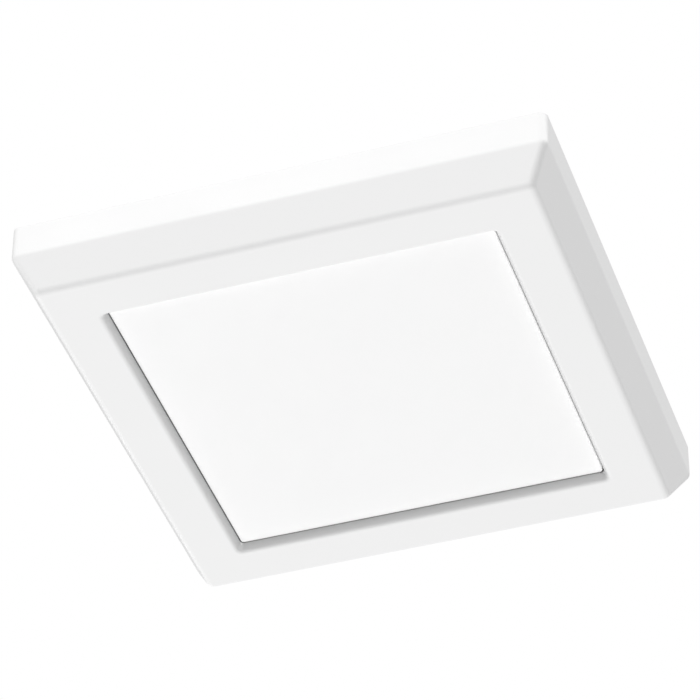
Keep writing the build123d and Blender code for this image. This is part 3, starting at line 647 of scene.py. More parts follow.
@dataclass(frozen=True)
class SpangledZinc(Finish):
    """Galvanised sheet: crystals that catch the light differently, over faint rolling lines."""

    crystals: Pattern = Pattern(270.0, kind=Kind.CRYSTALS)
    borders: Pattern = Pattern(270.0, kind=Kind.BORDERS, span=(0.0, 0.06))
    ferns: Pattern = Pattern(1500.0, 4.0)
    lines: Pattern = Pattern(40.0, 3.0, stretch=(1.0, 60.0, 60.0))
    fern_share: float = 0.25

    def mottle(self, coat: Coat) -> Socket:
        """Draws ferns over the crystals.

        Args:
            coat: The material to build.

        Returns:
            The pattern that the tones follow.
        """
        crystals = coat.math("MULTIPLY", coat.pattern(self.crystals), 1 - self.fern_share)
        ferns = coat.math("MULTIPLY", coat.pattern(self.ferns), self.fern_share)
        return coat.math("ADD", crystals, ferns)

    def height(self, coat: Coat, gloss: Socket) -> Socket:
        """The crystals' borders and the rolling lines."""
        return coat.math("ADD", coat.pattern(self.borders), coat.pattern(self.lines))


@dataclass(frozen=True)
class Banded(Finish):
    """A finish with a band of another colour across one axis."""

    band: Colour = (0.5, 0.5, 0.5)
    axis: Axis = Axis.X
    start: float = 0.0
    end: float = 0.0

    def base(self, coat: Coat, mottle: Socket) -> Socket:
        """The tones, with the band over them."""
        band = coat.between(coat.axes()[self.axis.value], self.start, self.end)
        return coat.blend(band, super().base(coat, mottle), self.band)


@dataclass(frozen=True)
class StripedInsulation(Finish):
    """Insulation with a stripe along each side."""

    stripe: Colour = (0.8, 0.62, 0.03)
    stripe_tilt: float = 0.52

    def base(self, coat: Coat, mottle: Socket) -> Socket:
        """The tones above and below, and the stripe where the surface looks sideways."""
        sideways = coat.below(coat.tilt(), self.stripe_tilt)
        return coat.blend(sideways, super().base(coat, mottle), self.stripe)


RUBBED = (0.2, 0.2, 0.2)
GRAINS = Pattern(2600.0, kind=Kind.CRYSTALS)
TRACKS = Pattern(210.0, kind=Kind.BORDERS, span=(0.08, 0.0801))  # a sharp step


def insulation(
    slot: str, colour: Colour, roughness: float = 0.33, kind: type[Finish] = Finish,
) -> Finish:
    """Extruded insulation, paler where it has been bent and rubbed, with faint marks from the die.

    Args:
        slot: The record's slot.
        colour: Colour of the plastic.
        roughness: How matt it is.
        kind: The kind of finish.

    Returns:
        The finish.
    """
    worn = Pattern(180.0, 4.0, span=(0.45, 0.85), top=0.25)
    gloss, relief = Pattern(260.0, 3.0), Pattern(900.0)
    return kind(slot, (colour, RUBBED), roughness, tone=worn, gloss=gloss, relief=relief)


def moulding(
    slot: str, colour: Colour, loss: float, roughness: float, grain: float, depth: float,
) -> Finish:
    """Moulded plastic, a little cloudy, with the fine grain of its mould.

    Args:
        slot: The record's slot.
        colour: Colour of the plastic.
        loss: Share of the brightness that the clouds take away.
        roughness: How matt it is.
        grain: Grains per metre.
        depth: Depth of the grain.

    Returns:
        The finish.
    """
    return Finish(slot, mottled(colour, loss), roughness, relief=Pattern(grain, 3.0), depth=depth)


FINISHES: tuple[Finish, ...] = (
    PowderCoat(
        "white_powder_coat", mottled((0.89, 0.89, 0.89), 0.008), 0.65,
        tone=Pattern(25.0, 3.0), relief=Pattern(700.0), depth=0.002 * MM,
    ),
    OpalSheet(
        "opal_diffuser", mottled((0.97, 0.97, 0.97), 0.006), 0.6,
        relief=Pattern(1500.0, 3.0), depth=0.002 * MM,
    ),
    DottedAcrylic("clear_acrylic", ((0.93, 0.97, 0.96), (0.9, 0.9, 0.9)), 0.06),
    moulding("white_film", (0.9, 0.9, 0.9), 0.03, 0.4, 1200.0, 0.01 * MM),
    Finish(
        "white_foam", ((0.82, 0.82, 0.8), (0.656, 0.656, 0.64)), 0.9,
        tone=Pattern(900.0, kind=Kind.CELLS), depth=0.2 * MM,
    ),
    StripBoard(
        "white_circuit_board", mottled((0.86, 0.86, 0.84), 0.06), 0.4,
        tone=Pattern(200.0), gloss=Pattern(900.0), depth=0.0,
    ),
    PhosphorFace(
        "led_package", ((0.72, 0.53, 0.1), (0.85, 0.62, 0.12)), 0.35, tone=Pattern(6000.0),
    ),
    SpangledZinc(
        "zinc_steel", mottled((0.52, 0.53, 0.55), 0.18), 0.42, 0.08,
        depth=0.003 * MM, metallic=0.75,
    ),
    Finish(
        "spring_steel", mottled((0.34, 0.35, 0.37), 0.25), 0.32, 0.08,
        tone=Pattern(90.0, 4.0, stretch=(1.0, 1.0, 40.0)), metallic=1.0,
    ),
    Finish(
        "zinc_screws", ((0.741, 0.72, 0.6705), (0.678, 0.699, 0.7405)), 0.3, 0.07,
        tone=Pattern(260.0, 3.0, span=(0.35, 0.65)), gloss=Pattern(3000.0, 3.0),
        depth=0.003 * MM, metallic=1.0,
    ),
    Finish(
        "black_rubber", ((0.022, 0.022, 0.024), (0.075, 0.075, 0.08)), 0.68, 0.12,
        tone=Pattern(240.0, 5.0, span=(0.45, 0.75)), relief=Pattern(1800.0, 3.0), depth=0.03 * MM,
    ),
    moulding("white_case", (0.74, 0.74, 0.72), 0.03, 0.5, 1700.0, 0.03 * MM),
    Finish(
        "green_board", ((0.025, 0.16, 0.06), (0.08, 0.34, 0.13)), 0.35,
        tone=TRACKS, gloss=Pattern(500.0), relief=TRACKS, depth=0.04 * MM,
    ),
    Banded(
        "ferrite", mottled((0.07, 0.07, 0.075), 0.4), 0.6,
        tone=GRAINS, gloss=Pattern(1200.0), relief=GRAINS, depth=0.02 * MM,
        band=(0.72, 0.5, 0.05), start=-13.4 * MM, end=-2.6 * MM,
    ),
    Banded(
        "capacitor_sleeve", mottled((0.02, 0.024, 0.05), 0.06), 0.3,
        tone=Pattern(60.0), gloss=Pattern(300.0), relief=Pattern(700.0), depth=0.02 * MM,
        band=(0.55, 0.56, 0.58), axis=Axis.Z, start=-5.3 * MM,
    ),
    moulding("terminal_white", (0.72, 0.72, 0.69), 0.04, 0.42, 1900.0, 0.02 * MM),
    moulding("terminal_orange", (0.78, 0.2, 0.02), 0.1, 0.38, 2200.0, 0.02 * MM),
    Finish(
        "brass", mottled((0.74, 0.54, 0.24), 0.15), 0.28, 0.08,
        tone=Pattern(90.0, 4.0, stretch=(4.0, 4.0, 10.0)), metallic=1.0,
    ),
    insulation("brown_insulation", (0.13, 0.055, 0.025)),
    insulation("blue_insulation", (0.02, 0.09, 0.4)),
    insulation("green_yellow_insulation", (0.05, 0.3, 0.04), kind=StripedInsulation),
    insulation("red_insulation", (0.45, 0.02, 0.02)),
    insulation("black_insulation", (0.018, 0.018, 0.018), 0.36),
)


class PaintShop:
    """Makes each finish once and puts it on nodes and pieces."""

    def __init__(self, finishes: Sequence[Finish]) -> None:
        """Makes the materials of all the record's slots."""
        self.materials = {finish.slot: finish.material() for finish in finishes}
        self.slots = {part["node"]: part["material_slot"] for part in frame["record"]["subparts"]}

    def coat(self, target: bpy.types.Object, slot: str) -> None:
        """Gives an object one finish all over."""
        target.data.materials.clear()
        target.data.materials.append(self.materials[slot])

    def coat_node(self, node: str) -> None:
        """Gives a CAD node the finish of its slot."""
        self.coat(frame["nodes"][node], self.slots[node])
        LOG.info("%s: %s", node, self.slots[node])


# Modelling


class Workpiece:
    """One mesh that is modelled with Blender's own operators."""

    disc_sides: int = 32
    turned_sides: int = 72

    def __init__(self, name: str) -> None:
        """Takes the primitive that was added last.

        Args:
            name: The piece's name.
        """
        self.object = bpy.context.object
        self.object.name = name
        self.object.data.name = name
        bpy.ops.object.transform_apply(location=True, rotation=True, scale=True)

    @classmethod
    def block(cls, name: str, low: Point, high: Point) -> "Workpiece":
        """Starts from a block between two corners.

        Args:
            name: The piece's name.
            low: Lowest corner.
            high: Highest corner.

        Returns:
            The workpiece.
        """
        low, high = Vector(low), Vector(high)
        bpy.ops.object.select_all(action="DESELECT")
        bpy.ops.mesh.primitive_cube_add(size=1.0, location=(low + high) / 2)
        bpy.context.object.scale = high - low
        return cls(name)

    @classmethod
    def disc(cls, name: str, middle: Point, radius: float, height: float) -> "Workpiece":
        """Starts from an upright disc that stands on a point.

        Args:
            name: The piece's name.
            middle: Middle of its lower face.
            radius: Its radius.
            height: Its height.

        Returns:
            The workpiece.
        """
        bpy.ops.object.select_all(action="DESELECT")
        bpy.ops.mesh.primitive_cylinder_add(
            vertices=cls.disc_sides, radius=radius, depth=height,
            location=Vector(middle) + Vector((0.0, 0.0, height / 2)),
        )
        return cls(name)

    @classmethod
    def turned(cls, name: str, middle: Point, profile: Sequence[Point]) -> "Workpiece":
        """Turns a closed profile about an upright line.

        Args:
            name: The piece's name.
            middle: A point on the line, at the level that the profile counts from.
            profile: Radius and level of each corner, in order round the section.

        Returns:
            The workpiece, with its faces pointing outwards.
        """
        bpy.ops.object.select_all(action="DESELECT")
        radius, level = profile[0]
        start = Vector(middle) + Vector((0.0, 0.0, level))
        bpy.ops.mesh.primitive_circle_add(vertices=cls.turned_sides, radius=radius, location=start)
        piece = cls(name)
        piece.edit("EDGE")
        bpy.ops.mesh.select_all(action="SELECT")
        for wide, high in (*profile[1:], profile[0]):
            bpy.ops.mesh.extrude_edges_move()
            bpy.ops.transform.translate(value=(0.0, 0.0, high - level))
            factor = wide / radius
            bpy.ops.transform.resize(value=(factor, factor, 1.0), center_override=start)
            radius, level = wide, high
        bpy.ops.mesh.select_all(action="SELECT")
        bpy.ops.mesh.remove_doubles(threshold=HAIR / 10)
        bpy.ops.mesh.normals_make_consistent(inside=False)
        piece.leave()
        return piece

    def edit(self, kind: str) -> None:
        """Opens the mesh for editing of its VERT, EDGE or FACE elements."""
        bpy.ops.object.mode_set(mode="EDIT")
        bpy.ops.mesh.select_mode(type=kind)

    def leave(self) -> None:
        """Closes the editing."""
        bpy.ops.object.mode_set(mode="OBJECT")

    def drop(self, kind: str) -> None:
        """Deselects everything in the mesh, and closes the editing.

        Args:
            kind: VERT, EDGE or FACE, the elements to select next.
        """
        self.edit(kind)
        bpy.ops.mesh.select_all(action="DESELECT")
        self.leave()

    def pick_faces(self, look: Look) -> None:
        """Selects the faces that look one way, and leaves the mesh open for editing.

        Args:
            look: The way that they look.
        """
        self.drop("FACE")
        way = Vector(look.value)
        for face in self.object.data.polygons:
            face.select = face.normal.dot(way) > ALONG
        self.edit("FACE")

    def pick_edges(self, run: Run, test: Callable[[Vector], bool]) -> None:
        """Selects the edges that run one way, and leaves the mesh open for editing.

        Args:
            run: The way that they run.
            test: Whether an edge with this middle is meant.
        """
        self.drop("EDGE")
        points = self.object.data.vertices
        for edge in self.object.data.edges:
            start, end = (points[i].co for i in edge.vertices)
            rise = abs((end - start).normalized().z)
            fits = rise > ALONG if run is Run.UPRIGHT else rise < ACROSS
            edge.select = fits and test((start + end) / 2)
        self.edit("EDGE")

    def inset(self, width: float) -> None:
        """Draws the selected faces in by a width."""
        bpy.ops.mesh.inset(thickness=width, use_even_offset=True)

    def extrude(self, height: float) -> None:
        """Pulls the selected faces up, or pushes them down, along Z."""
        bpy.ops.mesh.extrude_region_move(TRANSFORM_OT_translate={"value": (0.0, 0.0, height)})

    def bevel(self, width: float, steps: int) -> None:
        """Rounds the selected edges, and closes the editing."""
        bpy.ops.mesh.bevel(offset=width, offset_type="OFFSET", segments=steps, affect="EDGES")
        self.leave()

    def round_corners(self, width: float, steps: int) -> None:
        """Rounds all the upright edges."""
        self.pick_edges(Run.UPRIGHT, lambda middle: True)
        self.bevel(width, steps)

    def round_rim(self, level: float, width: float, steps: int) -> None:
        """Rounds the level edges at one height."""
        self.pick_edges(Run.LEVEL, lambda middle: abs(middle.z - level) < HAIR)
        self.bevel(width, steps)

    def activate(self) -> None:
        """Selects this piece alone."""
        bpy.ops.object.select_all(action="DESELECT")
        self.object.select_set(True)
        bpy.context.view_layer.objects.active = self.object

    def apply(self, modifier: bpy.types.Modifier) -> None:
        """Makes a modifier's result the mesh."""
        self.activate()
        bpy.ops.object.modifier_apply(modifier=modifier.name)

    def repeat(self, count: int, step: Point) -> None:
        """Repeats the piece in a row.

        Args:
            count: How many there are.
            step: From one to the next.
        """
        row = self.object.modifiers.new("row", "ARRAY")
        row.count = count
        row.use_relative_offset = False
        row.use_constant_offset = True
        row.constant_offset_displace = step
        self.apply(row)

    def cut(self, tools: Sequence["Workpiece"]) -> None:
        """Cuts other workpieces out of this one, and removes them.

        Args:
            tools: The shapes to cut away.
        """
        for tool in tools:
            difference = self.object.modifiers.new("cut", "BOOLEAN")
            difference.operation = "DIFFERENCE"
            difference.solver = "EXACT"
            difference.object = tool.object
            self.apply(difference)
            bpy.data.objects.remove(tool.object)

    def join(self, others: Sequence["Workpiece"]) -> None:
        """Takes other workpieces into this one's mesh.

        Args:
            others: The pieces to take in.
        """
        self.activate()
        for piece in others:
            piece.object.select_set(True)
        bpy.ops.object.join()


# Sub-assemblies


@dataclass
class SubAssembly:
    """Part of the light: CAD nodes that keep their shape, and pieces that are modelled here."""

    shop: PaintShop
    nodes: tuple[str, ...] = ()

    def dress(self) -> None:
        """Gives the CAD nodes their finishes."""
        for node in self.nodes:
            self.shop.coat_node(node)

    def build(self) -> None:
        """Models the pieces that the CAD nodes lack."""

    def mount(
        self, piece: Workpiece, slot: str, body: Body, *stands_for: str, smooth: float = 40.0,
    ) -> None:
        """Smooths, coats and mounts a piece.

        Args:
            piece: The piece.
            slot: The record's slot that it takes its finish from.
            body: The body that it rides on.
            stands_for: CAD nodes that it replaces.
            smooth: Edges flatter than this many degrees are shaded smooth.
        """
        piece.activate()
        bpy.ops.object.shade_smooth_by_angle(angle=math.radians(smooth))
        self.shop.coat(piece.object, slot)
        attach(piece.object, body.value)
        if stands_for:
            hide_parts(*stands_for)
        LOG.info("%s: rides on %s", piece.object.name, body.value)


@dataclass
class Housing(SubAssembly):
    """The casting, with the marks of its ejector pins on the floor of the channel."""

    nodes: tuple[str, ...] = ("housing",)
    mark_radius: float = 2.4 * MM
    mark_height: float = 0.3 * MM
    mark_edge: float = 0.1 * MM
    mark_rim: float = 0.8 * MM
    mark_dish: float = 0.15 * MM
    mark_line: float = 97.8 * MM
    mark_places: tuple[float, ...] = (-68.0 * MM, -38.0 * MM, 38.0 * MM, 68.0 * MM)
    floor_level: float = -28.0 * MM

    def mark(self, x: float, y: float) -> Workpiece:
        """Models one round mark with a rim.

        Args:
            x: Its place across the light.
            y: Its place along the light.

        Returns:
            The mark.
        """
        middle = (x, y, self.floor_level)
        piece = Workpiece.disc("ejector_marks", middle, self.mark_radius, self.mark_height)
        piece.pick_faces(Look.UP)
        piece.inset(self.mark_rim)
        piece.extrude(-self.mark_dish)
        piece.leave()
        piece.round_rim(self.floor_level + self.mark_height, self.mark_edge, steps=2)
        return piece

    def build(self) -> None:
        """Sets marks along all four sides of the channel."""
        marks = []
        for along in self.mark_places:
            for line in (-self.mark_line, self.mark_line):
                marks.append(self.mark(along, line))
                marks.append(self.mark(line, along))
        first, *others = marks
        first.join(others)
        self.mount(first, "white_powder_coat", Body.LAMP)


@dataclass
class LightChamber(SubAssembly):
    """Diffuser, light guide, film and LED strips, pressed together by a foam pad."""

    nodes: tuple[str, ...] = (
        "diffuser", "diffuser_gasket", "light_guide", "reflector_sheet", "strip_jumpers",
        *(f"led_strip_{side}" for side in ("near", "far", "left", "right")),
        *(f"leds_{side}" for side in ("near", "far", "left", "right")),
    )
    corner_cut: float = 14.0 * MM
    pad_edge: float = 0.9 * MM
    hole_radius: float = 4.0 * MM
    hole_past: float = 1.0 * MM
    screw_heads: tuple[tuple[str, float], ...] = (
        ("driver_screws", 2.8 * MM), ("terminal_screws", 2.8 * MM), ("earth_screw", 3.6 * MM),
    )
    place_digits: int = 5
    fill: float = 0.9

    def screw_places(self) -> list[tuple[float, float]]:
        """Where screw tips come through the back cover.

        Returns:
            The places in plan, each once.
        """
        places = set()
        for node, radius in self.screw_heads:
            low, high = node_box(node)
            for x, y in ((low.x + radius, low.y + radius), (high.x - radius, high.y - radius)):
                places.add((round(x, self.place_digits), round(y, self.place_digits)))
        return sorted(places)

    def build(self) -> None:
        """Models the foam pad, with soft edges and room for the screw tips."""
        low, high = node_box("foam_pad")
        pad = Workpiece.block("foam_pad_soft", low, high)
        pad.round_corners(self.corner_cut / math.sqrt(2), steps=1)
        tools = []
        depth = high.z - low.z + 2 * self.hole_past
        for x, y in self.screw_places():
            start = (x, y, low.z - self.hole_past)
            tools.append(Workpiece.disc("tip_room", start, self.hole_radius, depth))
        pad.cut(tools)
        for level in (low.z, high.z):
            pad.round_rim(level, self.pad_edge, steps=3)
        self.mount(pad, "white_foam", Body.LAMP, "foam_pad")


@dataclass
class BackCover(SubAssembly):
    """The sheet that closes the light chamber, with pressed beads that stiffen it."""

    nodes: tuple[str, ...] = ("back_cover", "cover_screws", "wire_grommet")
    bead_half: float = 3.0 * MM
    bead_height: float = 0.9 * MM
    end_radius: float = 2.94 * MM
    crown_radius: float = 0.855 * MM
    smooth: float = 60.0
    beads: tuple[tuple[float, float, float], ...] = (
        (12.0 * MM, 82.0 * MM, -42.0 * MM),
        (12.0 * MM, 82.0 * MM, -61.0 * MM),
        (12.0 * MM, 82.0 * MM, -80.0 * MM),
        (-84.0 * MM, -44.0 * MM, -80.0 * MM),
        (-84.0 * MM, -12.0 * MM, 89.0 * MM),
        (12.0 * MM, 62.0 * MM, 89.0 * MM),
    )

    def build(self) -> None:
        """Presses beads along X into the free stretches of the sheet."""
        deck = node_box("back_cover")[1].z
        top = deck + self.bead_height
        for number, (start, end, y) in enumerate(self.beads, 1):
            low, high = (start, y - self.bead_half, deck), (end, y + self.bead_half, top)
            bead = Workpiece.block(f"cover_bead_{number}", low, high)
            bead.round_corners(self.end_radius, steps=8)
            bead.round_rim(top, self.crown_radius, steps=4)
            self.mount(bead, "zinc_steel", Body.LAMP, smooth=self.smooth)


@dataclass
class Driver(SubAssembly):
    """The LED driver: a case in two halves, with its lid's bare label field, grooves and ribs."""

    nodes: tuple[str, ...] = (
        "driver_base", "driver_board", "driver_transformer",
        "driver_capacitors", "driver_choke", "driver_screws",
    )
    corner: float = 2.0 * MM
    edge: float = 1.2 * MM
    wall: float = 1.6 * MM
    fit: float = 0.2 * MM
    lip: float = 1.0 * MM
    roof: float = 1.6 * MM
    field_margin: float = 5.0 * MM
    field_end: float = 17.0 * MM
    field_depth: float = 0.4 * MM
    groove_width: float = 1.4 * MM
    groove_radius: float = 0.63 * MM
    groove_pitch: float = 3.0 * MM
    groove_count: int = 4
    groove_start: float = 3.6 * MM
    groove_depth: float = 0.7 * MM
    cut_past: float = 1.0 * MM
    rib_width: float = 1.2 * MM
    rib_radius: float = 0.48 * MM
    rib_proud: float = 0.5 * MM
    rib_pitch: float = 4.0 * MM
    rib_count: int = 21
    rib_low: float = 2.6 * MM
    rib_high: float = 0.9 * MM

    def lid_shell(self) -> Workpiece:
        """Models the lid's shell, with the lip that drops into the base.

        Returns:
            The shell.
        """
        low, high = node_box("driver_lid")
        parting = node_box("driver_base")[1].z
        shell = Workpiece.block("driver_lid_shell", (low.x, low.y, parting), high)
        shell.round_corners(self.corner, steps=5)
        shell.round_rim(high.z, self.edge, steps=4)
        shell.pick_faces(Look.DOWN)
        shell.inset(self.wall + self.fit)
        shell.extrude(low.z - parting)
        shell.inset(self.lip)
        shell.extrude(high.z - self.roof - low.z)
        shell.leave()
        return shell

    def cutters(self) -> list[Workpiece]:
        """Models the shapes that the label field and the grooves are cut with.

        Returns:
            The cutting shapes.
        """
        low, high = node_box("driver_lid")
        past = high.z + self.cut_past
        near, far = low.y + self.field_margin, high.y - self.field_margin
        field_low = (low.x + self.field_end, near, high.z - self.field_depth)
        label = Workpiece.block("label_field", field_low, (high.x - self.field_end, far, past))
        label.round_corners(self.corner, steps=4)
        tools = [label]
        for number in range(self.groove_count):
            inward = self.groove_start + number * self.groove_pitch
            for x in (low.x + inward, high.x - inward - self.groove_width):
                start = (x, near, high.z - self.groove_depth)
                groove = Workpiece.block("groove", start, (x + self.groove_width, far, past))
                groove.round_corners(self.groove_radius, steps=3)
                tools.append(groove)
        return tools

    def side_ribs(self, name: str, wall: float, out: float) -> Workpiece:
        """Models a row of ribs on one long side of the base.

        Args:
            name: The piece's name.
            wall: The side's place along Y.
            out: 1 where the side looks far, -1 where it looks near.

        Returns:
            The row.
        """
        base_low, base_high = node_box("driver_base")
        row = (self.rib_count - 1) * self.rib_pitch + self.rib_width
        start = (base_low.x + base_high.x - row) / 2
        face = wall + out * self.rib_proud
        near, far = sorted((wall, face))
        low = (start, near, base_low.z + self.rib_low)
        rib = Workpiece.block(name, low, (start + self.rib_width, far, base_high.z - self.rib_high))
        rib.pick_edges(Run.UPRIGHT, lambda middle: abs(middle.y - face) < HAIR)
        rib.bevel(self.rib_radius, steps=3)
        rib.repeat(self.rib_count, (self.rib_pitch, 0.0, 0.0))
        return rib

    def build(self) -> None:
        """Models the lid and the ribs."""
        lid = self.lid_shell()
        lid.cut(self.cutters())
        self.mount(lid, "white_case", Body.LAMP, "driver_lid")
        low, high = node_box("driver_lid")
        sides = (("driver_ribs_near", low.y, -1.0), ("driver_ribs_far", high.y, 1.0))
        for name, wall, out in sides:
            self.mount(self.side_ribs(name, wall, out), "white_case", Body.LAMP)


@dataclass
class TerminalBlock(SubAssembly):
    """The push-in terminals: release buttons, fins between the poles and test ports."""

    nodes: tuple[str, ...] = (
        "terminal_base", "terminal_block", "terminal_contacts", "terminal_screws",
    )
    collar: float = 0.8 * MM
    collar_thick: float = 1.2 * MM
    button_edge: float = 0.2 * MM
    dish_margin: float = 0.75 * MM
    dish_depth: float = 0.5 * MM
    fin_half: float = 0.55 * MM
    fin_height: float = 1.2 * MM
    fin_inset: float = 1.5 * MM
    fin_radius: float = 0.495 * MM
    fin_edge: float = 0.3 * MM
    port_length: float = 3.6 * MM
    port_width: float = 2.6 * MM
    port_corner: float = 0.7 * MM
    port_rim: float = 0.6 * MM
    port_floor: float = 0.1 * MM
    port_proud: float = 0.5 * MM
    port_edge: float = 0.15 * MM
    port_back: float = 5.0 * MM

    def button(self, body: Body) -> None:
        """Models one release button, with a dished top for a finger or a screwdriver.

        Args:
            body: The button's body, which has the name of its CAD node.
        """
        low, high = node_box(body.value)
        cap = Workpiece.block(f"{body.value}_cap", low, (high.x, high.y, low.z + self.collar_thick))
        cap.pick_faces(Look.UP)
        cap.inset(self.collar)
        cap.extrude(high.z - low.z - self.collar_thick)
        cap.inset(self.dish_margin)
        cap.extrude(-self.dish_depth)
        cap.leave()
        cap.round_rim(high.z, self.button_edge, steps=3)
        self.mount(cap, "terminal_orange", body, body.value)

    def fin(self, name: str, y: float) -> None:
        """Models one fin across the top of the block.

        Args:
            name: The piece's name.
            y: Its middle.
        """
        low, high = node_box("terminal_block")
        top = high.z + self.fin_height
        start = (low.x + self.fin_inset, y - self.fin_half, high.z)
        fin = Workpiece.block(name, start, (high.x - self.fin_inset, y + self.fin_half, top))
        fin.round_corners(self.fin_radius, steps=4)
        fin.round_rim(top, self.fin_edge, steps=3)
        self.mount(fin, "terminal_white", Body.LAMP)

    def port(self, name: str, y: float) -> None:
        """Models the raised rim of one pole's test port.

        Args:
            name: The piece's name.
            y: The pole's middle.
        """
        low, high = node_box("terminal_block")
        x = low.x + self.port_back
        top = high.z + self.port_proud
        start = (x - self.port_length / 2, y - self.port_width / 2, high.z)
        rim = Workpiece.block(name, start, (x + self.port_length / 2, y + self.port_width / 2, top))
        rim.round_corners(self.port_corner, steps=4)
        rim.pick_faces(Look.UP)
        rim.inset(self.port_rim)
        rim.extrude(self.port_floor - self.port_proud)
        rim.leave()
        rim.round_rim(top, self.port_edge, steps=2)
        self.mount(rim, "terminal_white", Body.LAMP)

    def build(self) -> None:
        """Models buttons, fins and test ports from pole to pole."""
        middles = []
        for body in (Body.LIVE, Body.NEUTRAL, Body.EARTH):
            self.button(body)
            low, high = node_box(body.value)
            middles.append((low.y + high.y) / 2)
        for number, (here, after) in enumerate(zip(middles, middles[1:]), 1):
            self.fin(f"terminal_fin_{number}", (here + after) / 2)
        for number, y in enumerate(middles, 1):
            self.port(f"test_port_{number}", y)


@dataclass
class CeilingBracket(SubAssembly):
    """What stays on the ceiling: the bar, its spring clips and the cable's rubber entry."""

    nodes: tuple[str, ...] = (
        "ceiling_bracket", "spring_clip_left", "spring_clip_right", "clip_rivets",
    )
    bore: float = 4.5 * MM
    flange_thick: float = 1.2 * MM
    neck: float = 7.95 * MM
    lip_width: float = 1.1 * MM
    lip_height: float = 0.35 * MM
    groove_depth: float = 0.35 * MM
    rounding: float = 0.35 * MM
    smooth: float = 50.0

    def profile(self, outer: float, bottom: float, top: float) -> list[tuple[float, float]]:
        """The cable entry's section, from the top of its bore round its two flanges.

        Args:
            outer: Radius of the flanges.
            bottom: Lowest level.
            top: Level of the upper flange.

        Returns:
            Radius and level of each corner.
        """
        cut = self.rounding
        lip = self.bore + self.lip_width
        crest = top + self.lip_height
        groove = (lip + outer) / 2
        valley = top - self.groove_depth
        upper, lower = top - self.flange_thick, bottom + self.flange_thick
        return [
            (self.bore, top), (self.bore + cut, crest), (lip - cut, crest), (lip, top),
            (groove - 2 * cut, top), (groove - cut, valley),
            (groove + cut, valley), (groove + 2 * cut, top),
            (outer - cut, top), (outer, top - cut),
            (outer, upper + cut / 2), (outer - cut / 2, upper),
            (self.neck, upper), (self.neck, lower),
            (outer - cut / 2, lower), (outer, lower - cut / 2),
            (outer, bottom + cut), (outer - cut, bottom),
            (self.bore + cut, bottom), (self.bore, bottom + cut),
        ]

    def build(self) -> None:
        """Models the cable entry, with a lip round its bore and a groove in its flange."""
        low, high = node_box("cable_grommet")
        middle = ((low.x + high.x) / 2, (low.y + high.y) / 2, 0.0)
        section = self.profile((high.x - low.x) / 2, low.z, high.z)
        entry = Workpiece.turned("cable_entry", middle, section)
        self.mount(entry, "black_rubber", Body.BRACKET, "cable_grommet", smooth=self.smooth)


@dataclass
class Wiring(SubAssembly):
    """The leads between terminals, driver and LED strips, and the earth point."""

    nodes: tuple[str, ...] = (
        "live_lead", "neutral_lead", "earth_lead", "led_lead_plus", "led_lead_minus",
        "earth_lug", "earth_washer", "earth_screw",
    )


# Studio


@dataclass(frozen=True)
class Lamp:
    """A far, soft lamp: where it shines from, how strongly, and how many degrees wide it looks."""

    name: str
    towards: tuple[float, float, float]
    strength: float
    angle: float = 30.0

    def build(self) -> None:
        """Adds the lamp to the scene."""
        light = bpy.data.lights.new(self.name, "SUN")
        light.energy = self.strength
        light.angle = math.radians(self.angle)
        holder = bpy.data.objects.new(self.name, light)
        holder.rotation_euler = Vector(self.towards).to_track_quat("Z", "Y").to_euler()
        bpy.context.scene.collection.objects.link(holder)


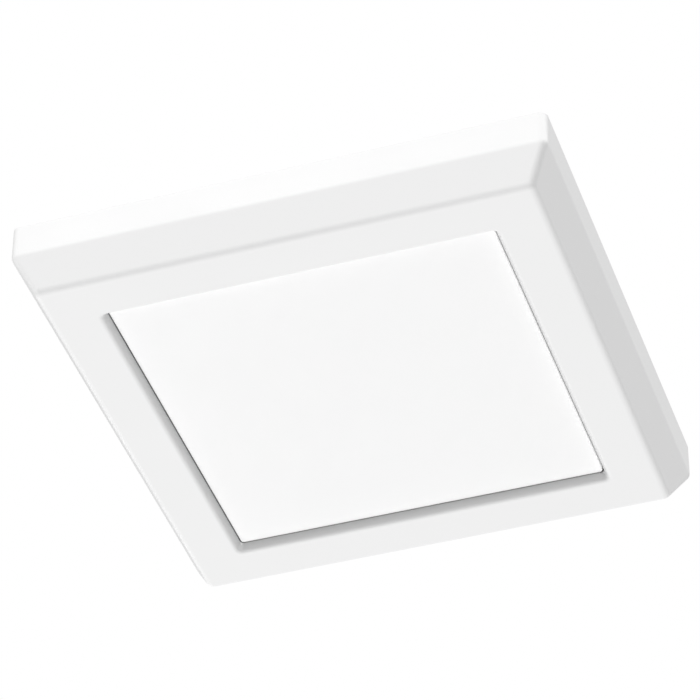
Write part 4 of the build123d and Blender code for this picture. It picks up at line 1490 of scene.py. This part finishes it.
@dataclass(frozen=True)
class Studio:
    """Floor, surround, lamps and camera."""

    floor_level: float = -2.4
    floor_half: float = 6.0
    floor_bounce: Colour = (0.05, 0.05, 0.05)
    floor_colour: Colour = (0.9, 0.9, 0.9)
    floor_roughness: float = 0.9
    visible_rays: tuple[str, ...] = ("Is Camera Ray", "Is Transmission Ray")
    mirrored_rays: tuple[str, ...] = ("Is Glossy Ray",)
    ambient: float = 0.05
    mirrored: float = 0.45
    aim: tuple[float, float, float] = (-0.0052, 0.0001, -0.0021)
    azimuth: float = 18.446
    elevation: float = -39.947
    roll: float = -0.30
    distance: float = 1.6469
    lens: float = 202.25
    sensor: float = 36.0
    sight: float = 100.0
    lamps: tuple[Lamp, ...] = (
        Lamp("near_low", (-0.25, -0.96, 0.1), 0.5, 8.0),
        Lamp("near_high", (-0.25, -0.84, 0.48), 2.68),
        Lamp("right_low", (0.98, 0.16, 0.1), 0.5, 8.0),
        Lamp("right_high", (0.7, 0.13, 0.7), 1.75),
        Lamp("under_far_left", (-0.5, 0.55, -0.67), 2.08),
        Lamp("under_right", (0.36, -0.25, -0.9), 1.6),
        Lamp("rear", (-0.62, 0.78, 0.1), 0.6, 8.0),
    )

    def surround(self) -> None:
        """White world for the eye, a dimmer one in reflections and a faint one for lighting."""
        world = bpy.data.worlds.new("surround")
        world.use_nodes = True
        graph = Graph(world.node_tree)
        back = graph.tree.nodes["Background"]
        unseen = graph.ramp(graph.seen(*self.mirrored_rays), 0.0, 1.0, self.ambient, self.mirrored)
        strength = graph.ramp(graph.seen(*self.visible_rays), 0.0, 1.0, unseen)
        graph.put(back.inputs["Strength"], strength)
        graph.put(back.inputs["Color"], (1.0, 1.0, 1.0, 1.0))
        bpy.context.scene.world = world

    def floor(self) -> None:
        """Pale floor, far below the light, that does not stop the lamps under it."""
        bpy.ops.object.select_all(action="DESELECT")
        place = (0.0, 0.0, self.floor_level)
        bpy.ops.mesh.primitive_plane_add(size=2 * self.floor_half, location=place)
        plane = bpy.context.object
        plane.name = "floor"
        plane.visible_shadow = False
        coat = Coat("pale_floor")
        coat.set("Roughness", self.floor_roughness)
        seen = coat.seen(*self.visible_rays)
        coat.set("Base Color", coat.blend(seen, self.floor_bounce, self.floor_colour))
        plane.data.materials.append(coat.material)

    def camera(self) -> None:
        """Camera at the photograph's viewing angle."""
        az, el = math.radians(self.azimuth), math.radians(self.elevation)
        out = Vector((math.sin(az) * math.cos(el), -math.cos(az) * math.cos(el), math.sin(el)))
        data = bpy.data.cameras.new("camera")
        data.lens = self.lens
        data.sensor_width = self.sensor
        data.clip_end = self.sight
        eye = bpy.data.objects.new("camera", data)
        level = out.to_track_quat("Z", "Y").to_matrix().to_4x4()
        turn = Matrix.Rotation(math.radians(-self.roll), 4, "Z")
        eye.matrix_world = Matrix.Translation(Vector(self.aim) + out * self.distance) @ level @ turn
        bpy.context.scene.collection.objects.link(eye)
        bpy.context.scene.camera = eye

    def build(self) -> None:
        """Sets up the whole studio."""
        bpy.context.scene.view_settings.view_transform = "Standard"
        self.surround()
        self.floor()
        for lamp in self.lamps:
            lamp.build()
        self.camera()


def main() -> None:
    """Dresses the light, models its finer pieces and sets up the studio."""
    logging.basicConfig(level=logging.INFO)
    shop = PaintShop(FINISHES)
    for kind in (Housing, LightChamber, BackCover, Driver, TerminalBlock, CeilingBracket, Wiring):
        part = kind(shop)
        part.dress()
        part.build()
    Studio().build()


if __name__ == "__main__":
    main()
